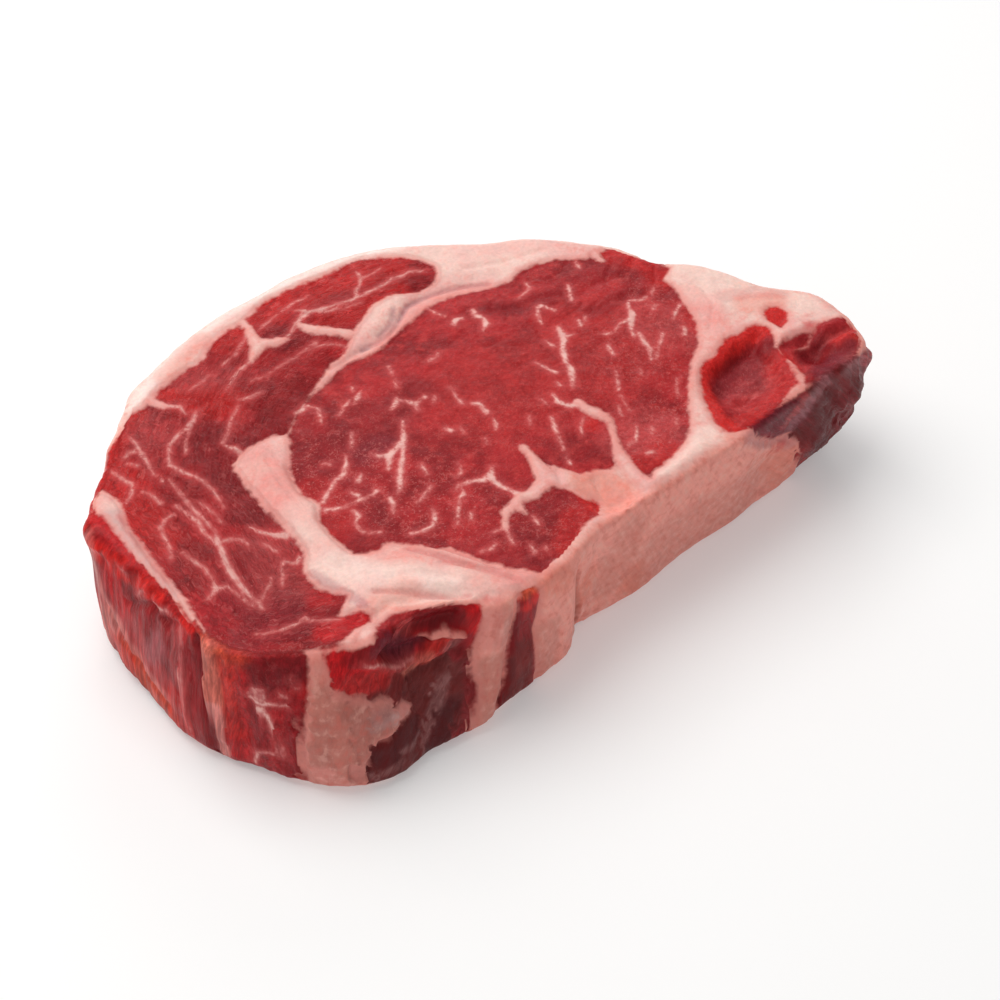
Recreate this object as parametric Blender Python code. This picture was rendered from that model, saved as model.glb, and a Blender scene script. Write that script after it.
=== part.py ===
"""Raw ribeye steak: one thick slice of beef rib, modelled as a single closed solid.

Metres, +Z up. The slice lies flat on z = 0 with a cut face up, its long axis along X
and the centre of its bounding box over the origin. The thin tail is at +X, the fat
side faces -Y. The solid is a loft: a foot outline, a swelling side and a rim outline,
closed by a flat underside and a cut face with the low relief of the muscles.
"""

import math

import bmesh
import bpy

MM = 0.001

# Driving dimensions, in millimetres.
LENGTH = 200.0
WIDTH = 137.0
THICKNESS = 40.0

RIM_RADIUS = 2.0        # where the cut face turns down into the side
FOOT_RADIUS = 4.0       # where the side rolls under to the flat underside
CROWN = 0.8             # how far the cut face rises over its rim

# Density of the skin.
COLUMNS = 128           # around the slice
ARC_STEPS = 3           # rows on each of the two rounded edges
SIDE_ROWS = 5           # rows between the rounded edges
FACE_RINGS = 17         # rings on the cut face
UNDERSIDE_RINGS = 3

# The ridge line towards which the rings of both faces close, as X, Y in mm.
RIDGE = ((-42.0, -4.0), (52.0, -9.0))

# Rim of the cut face, clockwise from the left end. Each station is X and Y of the rim,
# how far the foot stands outside the rim, and how much the side swells at mid height.
STATIONS = (
    (-98.0, 6.5, 1.0, 1.2), (-95.0, 13.5, 1.0, 1.2), (-89.5, 20.5, 1.5, 1.2),
    (-83.5, 28.8, 1.5, 1.2), (-76.2, 37.5, 1.5, 1.5), (-68.5, 46.2, 1.5, 1.5),
    (-57.0, 53.0, 1.5, 1.5), (-45.0, 58.8, 1.5, 1.5), (-31.0, 62.6, 1.0, 1.5),
    (-17.0, 65.8, 0.5, 1.5), (-4.0, 67.0, 0.5, 1.2), (8.5, 65.2, 0.5, 1.5),
    (20.0, 60.8, 1.0, 1.5), (29.0, 56.4, 1.5, 1.2), (35.5, 52.4, 1.5, 1.0),
    (43.5, 50.4, 1.5, 1.2), (51.5, 45.2, 1.5, 1.2), (58.5, 39.3, 1.5, 1.0),
    (64.0, 34.6, 1.5, 1.0), (67.5, 27.5, 1.5, 1.0), (71.0, 22.5, 1.5, 1.0),
    (78.0, 17.8, 1.0, 1.0), (84.3, 8.8, 1.0, 1.0), (88.2, 1.5, 1.0, 1.0),
    (93.8, -3.6, 0.5, 0.8), (99.0, -10.0, 0.0, 0.7), (99.6, -18.5, -4.0, 2.5),
    (98.8, -26.0, -6.5, 3.5), (96.0, -32.0, -7.0, 3.0), (88.5, -35.5, -8.0, 2.0),
    (80.0, -37.5, -6.5, 1.0), (71.0, -40.0, -6.0, 0.0), (61.0, -42.8, -6.2, 0.0),
    (51.0, -45.2, -7.0, 0.5), (40.0, -46.6, -6.2, 0.5), (30.0, -48.6, -5.5, 0.5),
    (20.0, -50.4, -4.0, 0.5), (11.0, -52.2, -5.0, 0.0), (3.0, -54.0, -5.5, 0.0),
    (-5.0, -57.2, -2.5, 0.5), (-12.5, -60.6, -2.8, 0.5), (-21.0, -62.8, -2.5, 0.5),
    (-31.0, -62.4, 1.0, 0.0), (-40.0, -61.4, 4.0, 0.0), (-49.0, -59.0, 7.4, 0.0),
    (-58.0, -58.8, 10.1, 0.5), (-68.0, -56.6, 8.7, 1.5), (-77.0, -53.4, 5.0, 1.5),
    (-85.0, -49.4, 0.5, 1.5), (-90.0, -43.0, 1.0, 1.5), (-92.0, -35.0, 3.0, 1.5),
    (-93.0, -25.0, 4.5, 1.5), (-95.0, -12.0, 4.0, 1.5), (-97.0, -2.0, 2.5, 1.5),
)

# Low relief of the cut face: centre X, Y, half lengths along and across, turn in
# degrees and height, in mm. A height below zero is a hollow.
MOUNDS = (
    (8.0, -4.0, 62.0, 44.0, 8.0, 1.0),          # crown of the eye muscle
    (-76.0, -8.0, 46.0, 16.0, 82.0, 0.8),       # cap muscle, long left run
    (-22.0, 50.0, 42.0, 13.0, 8.0, 0.8),        # cap muscle, upper run
    (-56.0, -12.0, 30.0, 7.0, 90.0, 0.9),       # fat band beside the eye
    (-44.0, -48.0, 20.0, 12.0, 150.0, 0.8),     # fat corner in front of it
    (63.0, -27.0, 17.0, 13.0, 15.0, -3.6),      # dished tail muscle
    (84.0, -28.0, 10.0, 7.0, 10.0, -1.6),       # thin end of the tail
    (12.0, -47.0, 9.0, 14.0, 10.0, -2.6),       # gully through the front fat
)

# Seams between the muscles: half width, depth and the points that the seam follows.
SEAMS = (
    (4.5, 1.6, ((-33.0, 22.0), (-20.0, 29.0), (-8.0, 31.0), (0.0, 35.0), (7.0, 40.5),
                (16.0, 41.5), (25.0, 39.5), (30.0, 37.0))),
    (4.0, 0.9, ((-61.5, 6.0), (-61.5, -12.0), (-60.0, -28.0), (-60.5, -40.0))),
    (4.0, 0.7, ((66.0, 16.0), (66.5, 2.0), (61.0, -8.0), (52.0, -18.0), (44.0, -29.0))),
)

# Lumps and hollows of the side: X, Y, Z of the middle, radius and height.
SIDE_LUMPS = (
    (-50.0, -60.0, 30.0, 9.0, -3.0),    # muscle set back under the fat
    (-38.0, -62.0, 33.0, 6.0, -2.0),
    (-59.0, -61.0, 37.0, 5.0, 1.5),     # fat nodule on the rim
    (-72.0, -62.0, 18.0, 14.0, 2.5),    # swelling of the lower fat
    (-88.0, -48.0, 20.0, 6.0, -2.0),    # fold at the front left corner
    (-20.0, -63.0, 26.0, 4.0, -2.0),    # upright creases of the front
    (4.0, -54.0, 22.0, 5.0, -1.5),
    (-99.0, 4.0, 34.0, 5.0, 1.2),       # end of the red rim
    (66.0, -41.0, 16.0, 12.0, -2.5),    # undercut below the tail
)


def closed_curve(points, count):
    """Points at equal steps along a closed Catmull-Rom curve through the stations."""
    fine = []
    total = len(points)
    steps = 24
    for i in range(total):
        before, start, end, after = (points[(i + k) % total] for k in (-1, 0, 1, 2))
        for s in range(steps):
            t = s / steps
            fine.append([0.5 * (2 * b + (c - a) * t + (2 * a - 5 * b + 4 * c - d) * t ** 2
                                + (3 * b - a - 3 * c + d) * t ** 3)
                         for a, b, c, d in zip(before, start, end, after)])
    fine.append(fine[0])
    lengths = [0.0]
    for p, q in zip(fine, fine[1:]):
        lengths.append(lengths[-1] + math.dist(p[:2], q[:2]))
    curve = []
    i = 0
    for k in range(count):
        goal = lengths[-1] * k / count
        while lengths[i + 1] < goal:
            i += 1
        t = (goal - lengths[i]) / (lengths[i + 1] - lengths[i])
        curve.append([p + (q - p) * t for p, q in zip(fine[i], fine[i + 1])])
    return curve


def outward(curve, i):
    """Unit normal in plan, pointing away from the meat, of a clockwise outline."""
    ahead = curve[(i + 1) % len(curve)]
    behind = curve[i - 1]
    dx, dy = ahead[0] - behind[0], ahead[1] - behind[1]
    size = math.hypot(dx, dy)
    return -dy / size, dx / size


def distance_to_line(x, y, points):
    """Distance in plan from a point to a polyline."""
    best = math.inf
    for (ax, ay), (bx, by) in zip(points, points[1:]):
        dx, dy = bx - ax, by - ay
        t = ((x - ax) * dx + (y - ay) * dy) / (dx * dx + dy * dy)
        t = min(max(t, 0.0), 1.0)
        best = min(best, math.hypot(x - ax - t * dx, y - ay - t * dy))
    return best


def relief(x, y):
    """Height of the cut face over its plain level, in mm."""
    height = 0.0
    for cx, cy, along, across, turn, size in MOUNDS:
        turn = math.radians(turn)
        u = ((x - cx) * math.cos(turn) + (y - cy) * math.sin(turn)) / along
        v = ((y - cy) * math.cos(turn) - (x - cx) * math.sin(turn)) / across
        reach = u * u + v * v
        if reach < 1.0:
            height += size * (1.0 - reach) ** 2
    for half, depth, points in SEAMS:
        height -= depth * math.exp(-(distance_to_line(x, y, points) / half) ** 2)
    return height


def side_swell(x, y, z):
    """How far the side's lumps push it outwards at a place, in mm."""
    return sum(size * math.exp(-(math.dist((x, y, z), (cx, cy, cz)) / radius) ** 2)
               for cx, cy, cz, radius, size in SIDE_LUMPS)


def side_section():
    """Inset and height of each row of the side, from the underside up to the cut face."""
    rows = []
    for k in range(ARC_STEPS + 1):
        turn = 0.5 * math.pi * k / ARC_STEPS
        rows.append((FOOT_RADIUS * (1 - math.sin(turn)), FOOT_RADIUS * (1 - math.cos(turn))))
    upper = THICKNESS - CROWN - RIM_RADIUS
    for k in range(1, SIDE_ROWS):
        rows.append((0.0, FOOT_RADIUS + (upper - FOOT_RADIUS) * k / SIDE_ROWS))
    for k in range(ARC_STEPS + 1):
        turn = 0.5 * math.pi * k / ARC_STEPS
        rows.append((RIM_RADIUS * (1 - math.cos(turn)), upper + RIM_RADIUS * math.sin(turn)))
    return rows


def towards_ridge(x, y):
    """The nearest point of the ridge line."""
    (ax, ay), (bx, by) = RIDGE
    dx, dy = bx - ax, by - ay
    t = min(max(((x - ax) * dx + (y - ay) * dy) / (dx * dx + dy * dy), 0.0), 1.0)
    return ax + t * dx, ay + t * dy


def rings():
    """Every ring of the skin, from the middle of the underside to the middle of the face."""
    rim = closed_curve(STATIONS, COLUMNS)
    normals = [outward(rim, i) for i in range(COLUMNS)]
    side = []
    for inset, z in side_section():
        rise = z / THICKNESS
        ring = []
        for (x, y, flare, swell), (nx, ny) in zip(rim, normals):
            out = flare * (1 - rise) + swell * math.sin(math.pi * rise) - inset
            out += side_swell(x + nx * out, y + ny * out, z)
            ring.append((x + nx * out, y + ny * out, z))
        side.append(ring)
    underside = closing_rings(side[0], UNDERSIDE_RINGS)
    face = closing_rings(side[-1], FACE_RINGS)
    side[-1] = lifted(side[-1])
    return underside[::-1] + side + [lifted(ring) for ring in face]


def closing_rings(edge, count):
    """Rings that close from an edge towards the ridge line."""
    closing = []
    for k in range(1, count + 1):
        t = k / (count + 0.6)
        ring = []
        for x, y, z in edge:
            rx, ry = towards_ridge(x, y)
            ring.append((x + (rx - x) * t, y + (ry - y) * t, z))
        closing.append(ring)
    return closing


def lifted(ring):
    """A ring of the cut face raised or sunk by the relief."""
    return [(x, y, z + relief(x, y)) for x, y, z in ring]


def to_size(skin):
    """The rings scaled to the driving dimensions and centred over the origin, in metres."""
    spans = []
    for axis in range(3):
        values = [point[axis] for ring in skin for point in ring]
        spans.append((min(values), max(values)))
    sizes = (LENGTH, WIDTH, THICKNESS)
    middles = [(low + high) / 2 for low, high in spans[:2]] + [spans[2][0]]
    scales = [size / (high - low) for size, (low, high) in zip(sizes, spans)]
    return [[tuple((value - middle) * scale * MM
                   for value, middle, scale in zip(point, middles, scales))
             for point in ring] for ring in skin]


def close_across(mesh, ring):
    """Fill the last, long ring with quads from one bank of the ridge to the other."""
    left = min(range(COLUMNS), key=lambda i: ring[i].co.x)
    turned = [ring[(left + k) % COLUMNS] for k in range(COLUMNS)]
    for k in range(COLUMNS // 2):
        near, far = turned[k], turned[k + 1]
        near_back, far_back = turned[-k], turned[-k - 1]
        corners = []
        for vert in (near, far, far_back, near_back):
            if vert not in corners:
                corners.append(vert)
        if len(corners) > 2:
            mesh.faces.new(corners)


def steak_mesh(name):
    """The closed skin of the steak as a mesh."""
    mesh = bmesh.new()
    loops = [[mesh.verts.new(point) for point in ring] for ring in to_size(rings())]
    for low, high in zip(loops, loops[1:]):
        for i in range(COLUMNS):
            k = (i + 1) % COLUMNS
            mesh.faces.new((low[i], low[k], high[k], high[i]))
    close_across(mesh, loops[0])
    close_across(mesh, loops[-1])
    bmesh.ops.recalc_face_normals(mesh, faces=mesh.faces)
    data = bpy.data.meshes.new(name)
    mesh.to_mesh(data)
    mesh.free()
    data.shade_smooth()
    return data


def raw_meat():
    """Moist raw beef."""
    material = bpy.data.materials.new("raw_beef")
    material.use_nodes = True
    shader = material.node_tree.nodes["Principled BSDF"]
    shader.inputs["Base Color"].default_value = (0.42, 0.055, 0.055, 1.0)
    shader.inputs["Roughness"].default_value = 0.42
    shader.inputs["Metallic"].default_value = 0.0
    return material


def build():
    for old in list(bpy.data.objects):
        bpy.data.objects.remove(old, do_unlink=True)
    collection = bpy.data.collections.new("raw_ribeye_steak")
    bpy.context.scene.collection.children.link(collection)
    steak = bpy.data.objects.new("ribeye_steak", steak_mesh("ribeye_steak"))
    steak.data.materials.append(raw_meat())
    collection.objects.link(steak)


build()
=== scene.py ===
import bpy
import numpy as np
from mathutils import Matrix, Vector


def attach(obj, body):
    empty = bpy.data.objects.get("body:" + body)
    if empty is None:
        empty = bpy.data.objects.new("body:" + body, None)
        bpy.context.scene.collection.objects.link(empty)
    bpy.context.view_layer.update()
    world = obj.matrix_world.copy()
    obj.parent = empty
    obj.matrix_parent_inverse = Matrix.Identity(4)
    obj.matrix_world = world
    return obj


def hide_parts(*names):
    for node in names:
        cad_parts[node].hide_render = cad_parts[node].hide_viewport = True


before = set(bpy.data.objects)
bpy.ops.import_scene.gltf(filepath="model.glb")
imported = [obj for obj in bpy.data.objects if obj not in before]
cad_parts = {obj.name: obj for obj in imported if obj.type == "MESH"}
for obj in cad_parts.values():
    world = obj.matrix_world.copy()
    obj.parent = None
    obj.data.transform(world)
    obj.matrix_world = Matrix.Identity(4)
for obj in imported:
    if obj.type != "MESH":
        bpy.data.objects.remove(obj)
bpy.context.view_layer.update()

mm = 0.001


# helpers for selecting, modifiers and mesh data
def deselectAll():
    if bpy.context.mode != "OBJECT":
        bpy.ops.object.mode_set(mode="OBJECT")
    bpy.ops.object.select_all(action="DESELECT")


def makeActive(piece):
    deselectAll()
    piece.select_set(True)
    bpy.context.view_layer.objects.active = piece


def addModifier(piece, kind, **settings):
    makeActive(piece)
    bpy.ops.object.modifier_add(type=kind)
    modifier = piece.modifiers[-1]
    for name, value in settings.items():
        setattr(modifier, name, value)
    bpy.ops.object.modifier_apply(modifier=modifier.name)


def readPoints(piece):
    points = np.empty(len(piece.data.vertices) * 3, np.float32)
    piece.data.vertices.foreach_get("co", points)
    return points.reshape(-1, 3).astype(float) / mm


def writePoints(piece, points):
    piece.data.vertices.foreach_set("co", (points * mm).astype(np.float32).ravel())
    piece.data.update()


def readNormals(piece):
    normals = np.empty(len(piece.data.vertices) * 3, np.float32)
    piece.data.vertices.foreach_get("normal", normals)
    return normals.reshape(-1, 3).astype(float)


def writeField(piece, name, values):
    kind = "FLOAT" if values.ndim == 1 else "FLOAT_VECTOR"
    layer = piece.data.attributes.new(name, kind, "POINT")
    layer.data.foreach_set("value" if kind == "FLOAT" else "vector",
                           values.astype(np.float32).ravel())


def smoothStep(value, low, high):
    share = np.clip((value - low) / (high - low), 0, 1)
    return share * share * (3 - 2 * share)


# sRGB numbers as the linear colour that shaders take
def linear(red, green, blue):
    def channel(value):
        value /= 255
        return value / 12.92 if value <= 0.04045 else ((value + 0.055) / 1.055) ** 2.4
    return (channel(red), channel(green), channel(blue), 1.0)


# distance of each point from a path, and how far along the path the nearest place is
def pathDistance(points, path, closed=False, reach=8.0):
    path = np.reshape(path, (-1, 2)).astype(float)
    if len(path) == 1:
        path = np.vstack([path, path + (0.01, 0)])    # a single spot is a very short path
    starts, ends = (path, np.roll(path, -1, 0)) if closed else (path[:-1], path[1:])
    best = np.full(len(points), reach)
    along = np.zeros(len(points))
    near = np.flatnonzero(((points > path.min(0) - reach) & (points < path.max(0) + reach)).all(1))
    local = points[near]
    for i, (start, end) in enumerate(zip(starts, ends)):
        low, high = np.minimum(start, end) - reach, np.maximum(start, end) + reach
        mine = np.flatnonzero(((local > low) & (local < high)).all(1))
        step = end - start
        share = np.clip(((local[mine] - start) @ step) / (step @ step), 0, 1)
        away = local[mine] - start - share[:, None] * step
        distance = np.hypot(away[:, 0], away[:, 1])
        closer = distance < best[near[mine]]
        found = near[mine[closer]]
        best[found] = distance[closer]
        along[found] = (i + share[closer]) / len(starts)
    return best, along


def insideOutline(points, outline):
    outline = np.reshape(outline, (-1, 2)).astype(float)
    inside = np.zeros(len(points), bool)
    near = np.flatnonzero(((points > outline.min(0)) & (points < outline.max(0))).all(1))
    x, y = points[near, 0], points[near, 1]
    odd = np.zeros(len(near), bool)
    for (ax, ay), (bx, by) in zip(outline, np.roll(outline, -1, 0)):
        if ay != by:
            crosses = (ay > y) != (by > y)
            odd ^= crosses & (x < (bx - ax) * (y - ay) / (by - ay) + ax)
    inside[near] = odd
    return inside


# how deep each point lies inside an outline, in mm, below zero outside it
def depthInside(points, outline, reach=8.0):
    distance = pathDistance(points, outline, closed=True, reach=reach)[0]
    return np.where(insideOutline(points, outline), distance, -distance)


# each stroke is a row of points with a half width at each
def strokeField(points, strokes, width=1.0, reach=5.0):
    field = np.full(len(points), -reach)
    for stroke in strokes:
        stroke = np.reshape(stroke, (-1, 3)).astype(float)
        distance, along = pathDistance(points, stroke[:, :2], reach=reach + 3)
        half = np.interp(along * (len(stroke) - 1), np.arange(len(stroke)), stroke[:, 2])
        field = np.maximum(field, half * width - distance)
    return field


# a soft stroke: full strength within its half width, then fading over the feather
def softCover(points, strength, half, feather, path):
    distance = pathDistance(points, path, reach=half + feather + 1)[0]
    return strength * smoothStep(-distance, -half - feather, -half)


# washes laid over each other: colour already weighted by its cover, and the cover
def washField(points, washes):
    layers = np.zeros((len(points), 4))
    for name, *stroke in washes:
        paint = np.array(linear(*palette[name])[:3] + (1.0,))
        layers += (paint - layers) * softCover(points, *stroke)[:, None]
    return layers


# how strongly the nearest of some soft spots covers each point
def spotField(points, spots):
    field = np.zeros(len(points))
    for spot in spots:
        field = np.maximum(field, softCover(points, *spot))
    return field


# ridges are (height, half width, points); a height below zero is a groove
def ridgeField(points, ridges):
    field = np.zeros(len(points))
    for height, half, path in ridges:
        distance = pathDistance(points, path, reach=half * 2.6)[0]
        field += height * np.maximum(np.exp(-(distance / half) ** 2) - 0.0012, 0)
    return field


# smooth random heights between -1 and 1, in lumps of about the given size
def lumpNoise(points, size, seed):
    cells = points / np.asarray(size, float)
    base = np.floor(cells).astype(np.int64)
    part = cells - base
    part = part * part * (3 - 2 * part)
    total = np.zeros(len(points))
    for corner in range(8):
        offset = np.array([(corner >> k) & 1 for k in range(3)])
        key = base + offset
        mixed = (key[:, 0] * 73856093) ^ (key[:, 1] * 19349663)
        mixed ^= (key[:, 2] * 83492791) ^ (seed * 668265263)
        mixed = ((mixed ^ (mixed >> 13)) * 1274126177) & 0x7FFFFFFF
        mixed = ((mixed ^ (mixed >> 15)) * 2246822519) & 0x7FFFFFFF
        height = ((mixed >> 7) & 0xFFFF) / 32767.5 - 1
        total += height * np.prod(np.where(offset, part, 1 - part), axis=1)
    return total


# camera, light and floor
view = {
    "target": (-8.40, -17.89, 20.0),
    "back": (-0.3597, -0.6230, 0.6947),
    "distance": 552.0,
    "lens": 81.0,
    "shift": (0.022, 0.010),
}


def aimAt(thing, place, target):
    thing.location = place
    thing.rotation_euler = (Vector(target) - Vector(place)).to_track_quat("-Z", "Y").to_euler()


def makeCamera():
    target = np.array(view["target"]) * mm
    place = target + np.array(view["back"]) * view["distance"] * mm
    bpy.ops.object.camera_add()
    camera = bpy.context.object
    camera.name = "steakCamera"
    aimAt(camera, place, target)
    camera.data.lens = view["lens"]
    camera.data.sensor_width = 36
    camera.data.shift_x, camera.data.shift_y = view["shift"]
    camera.data.clip_start = 0.01
    bpy.context.scene.camera = camera


studio = {
    "sky": 0.36,
    # name, place in metres, width, power and colour
    "lights": (
        ("overheadSoftbox", (-0.25, 0.35, 0.95), 0.9, 9.3, (1.0, 0.985, 0.965)),
        ("backSoftbox", (0.45, 0.85, 0.60), 0.5, 1.9, (1.0, 1.0, 1.0)),
        ("frontFill", (-0.75, -0.85, 0.75), 0.7, 1.0, (1.0, 0.99, 0.98)),
    ),
    "floorTone": (0.72, 0.72, 0.72, 1.0),
    "floorGlow": 0.25,
}


def makeStudio():
    scene = bpy.context.scene
    scene.view_settings.view_transform = "Standard"
    world = bpy.data.worlds.new("studioSky")
    world.use_nodes = True
    world.node_tree.nodes["Background"].inputs["Strength"].default_value = studio["sky"]
    world.node_tree.nodes["Background"].inputs["Color"].default_value = (1.0, 1.0, 1.0, 1.0)
    scene.world = world
    for name, place, size, power, tint in studio["lights"]:
        bpy.ops.object.light_add(type="AREA")
        light = bpy.context.object
        light.name = name
        light.data.size = size
        light.data.energy = power
        light.data.color = tint
        aimAt(light, place, (0.0, 0.0, 0.02))
    bpy.ops.mesh.primitive_plane_add(size=6.0, location=(0, 0, 0))
    floor = bpy.context.object
    floor.name = "studioFloor"
    paint = bpy.data.materials.new("floorPaint")
    paint.use_nodes = True
    shader = paint.node_tree.nodes["Principled BSDF"]
    shader.inputs["Base Color"].default_value = studio["floorTone"]
    shader.inputs["Emission Color"].default_value = (1.0, 1.0, 1.0, 1.0)
    shader.inputs["Emission Strength"].default_value = studio["floorGlow"]
    shader.inputs["Roughness"].default_value = 0.85
    shader.inputs["Specular IOR Level"].default_value = 0.2
    floor.data.materials.append(paint)


makeCamera()
makeStudio()
print("camera, light and floor are set")


# the muscles and the fat of the cut face, each outline or path a row of X, Y in mm
muscles = {
    "eye": (
        -45,10, -47,5, -50,0, -51,-5, -51.5,-10, -49,-14.5, -52,-20, -52,-25, -51,-30, -50,-33,
        -47,-34.5, -44,-35, -42,-33.5, -40,-35, -36,-38.5, -33,-42, -30,-42.5, -28.5,-45, -27,-48,
        -25,-51, -23,-53, -22,-55, -19,-57, -16,-60.5, -14,-61, -11.5,-58, -10,-59, -7.5,-59.5,
        -5,-57, -2,-54, 0,-52, 3,-51, 6,-50, 8,-47.5, 8.5,-45.5, 7.5,-43, 6,-41.5, 5,-40, 3.8,-38,
        3,-35, 3.2,-32, 4.5,-31, 6,-33, 8,-36.5, 13,-37, 16,-38.5, 18,-38, 19,-40, 19,-44, 19.2,-47,
        20.5,-48.5, 22,-47, 24,-44.5, 28,-43.5, 32,-42, 36,-40, 39,-37.5, 42,-34, 44,-30.5,
        46,-27.5, 49,-22.5, 52,-19, 55,-15, 60,-10.5, 63,-6, 65,-2.5, 66,2, 66.5,6, 67.5,11,
        67.5,16, 71,19, 68.5,24, 66.5,30, 62,35.5, 60,33.5, 57,34.5, 54,33, 51,35, 47,37, 42,37.8,
        36,37.8, 33,36.2, 28,36.5, 24,37, 18,37.8, 12,38, 9,37.5, 5,36, 2,34.5, -2,33, -6,31,
        -10,28.8, -15,28.3, -20,28.5, -25,26.5, -30,24, -33,22, -37,19, -40,16),
    "cap": (
        -89,-44.5, -90,-38, -89.5,-28, -90,-20, -90.5,-10, -91,0, -90,6, -89.5,10, -91,14, -93,18,
        -86,27, -78,37, -72,36.5, -70,37.5, -66.5,40, -65,41.3, -62,42, -60,43.5, -57,44.8,
        -53,45.5, -50,47, -48,49.5, -45,51.5, -41,53.5, -37,54, -31.5,56.5, -29,58.5, -25,59.5,
        -20,60.5, -12,61, -7,61.3, -2,62.7, 3,62.7, 8,60.5, 12,58, 15,55.5, 17,53, 17.8,50.5,
        17.2,48, 15.5,45.5, 13,44.5, 10,44, 6,44.5, 3,45.5, -1,45, -5,43.5, -8,41, -11,39, -14,36.5,
        -16.5,33.5, -20,30.5, -22,29, -28,25.5, -33,22, -40,16, -45,10.8, -48,12.5, -50,12.3,
        -55,11.2, -58,10, -60.5,8.3, -61.5,6, -61.5,0, -61.2,-8, -60.5,-14, -60,-17.5, -59.5,-22,
        -59.3,-26, -60.5,-29, -62.5,-31.5, -62.5,-35, -61.5,-39, -59,-42, -57.5,-44.5, -60,-47,
        -62,-48.5, -60,-49.5, -57,-50.5, -55.5,-52, -56.5,-54, -60,-54.8, -63,-56.6, -66,-57,
        -70,-55.4, -75,-53.8, -80,-52.6, -84,-50.8, -87.4,-48.2),
    "tail": (
        47,-41, 46.8,-38, 48,-33, 50,-28, 52.5,-23, 55,-19, 57.5,-16.8, 62,-15.5, 65,-13.5, 68,-12,
        71,-12.3, 74,-11.3, 77,-11.5, 79,-13.5, 79.5,-15.5, 78,-18, 76.6,-21, 77.2,-25, 75.5,-29,
        75,-33, 73,-35.5, 70.5,-36, 67,-38.5, 63,-40.8, 58,-42.5, 52,-43.8, 49,-43),
    "tailSpot": (80.5,-12, 81.3,-8.5, 84,-7.2, 86.5,-8.5, 87,-12, 84.5,-15, 81.5,-16.5),
    "tailEnd": (
        76.5,-21, 80,-20, 85,-20.3, 88,-21.5, 91,-19.5, 95,-20, 99,-21, 101,-26, 98,-31, 94,-35,
        88,-38, 82,-39, 77,-39, 74.5,-37, 75.5,-32, 76.3,-28, 76,-24),
    "ledge": (
        -57.5,-62, -57.4,-57.6, -55.4,-55.2, -52,-54.8, -48,-55.8, -44,-58.4, -39,-61.8,
        -34.5,-64.6, -35,-68, -58,-68),
    "rimNub": (-102,9, -96.5,8.5, -95,6, -94.4,0, -94,-8, -93.2,-16, -92.4,-24, -95,-32, -102,-32),
}

# fat strokes and marbling of the cut face, each a row of X, Y and half width in mm
faceFatStrokes = (
    # inlets of the eye muscle
    (8,-41,3, 5,-36.5,2.8, 1,-34.5,2.6, 1.2,-30,1.9, 1.7,-26,1.1, 1.5,-22,.6),
    (1,-34.5,2.4, -4,-37,1.7, -7.5,-36.8,1.5, -10,-38,1.3, -12.8,-38.7,1.1, -14.6,-41,.7,
     -15.8,-43.5,.6), (-9.5,-38,1.2, -9.4,-41.3,.5),
    (21.6,-15,.9, 22,-18,1.4, 23.6,-21,1.5, 24.8,-24,1.1, 24,-27,.7, 22.6,-30,.8, 21,-34,1.3,
     20,-38,1.9, 19.6,-43,2, 20.5,-48,2.4),
    # tip of the wedge
    (-33,22.3,.3, -28.5,24.8,.7, -25,27,1.3, -22.5,28.8,1.4, -20,30,.8),
    # rim
    (-93.6,12,1.8, -93,6,1.4, -92.7,0,1.2, -92.5,-6,1.1, -92.2,-12,1, -91.6,-17,.7, -91.2,-22,.4,
     -90.6,-27,.1),
    (-36,57,1, -36,51,.9, -36.6,47,1.5, -36.5,44.2,2.2, -38.5,41.8,1.2, -40.5,39.8,.5),
    (-36,44.2,2, -32.5,43.2,1.3, -29.5,43,.7),
    (-24,46,.8, -22.3,43.2,1.4, -19.5,41.2,1.4, -17,39.4,1.3, -14.5,37,1.6),
    (-69,40,1.4, -68,37,1.2, -66.8,35,.8), (-58,-56.6,.9, -61,-56,1.4, -64,-57.2,.9, -67,-57.2,.3),
    (57.2,34,1.5, 57,30.6,.6),
    # bars of the tail
    (76.6,-26.4,.1, 76.4,-29,.5, 75.6,-32,.7, 74.4,-35,.8),
    (79,-24.4,.05, 85,-23.4,.1, 88.4,-20.4,.3),
)

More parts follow.
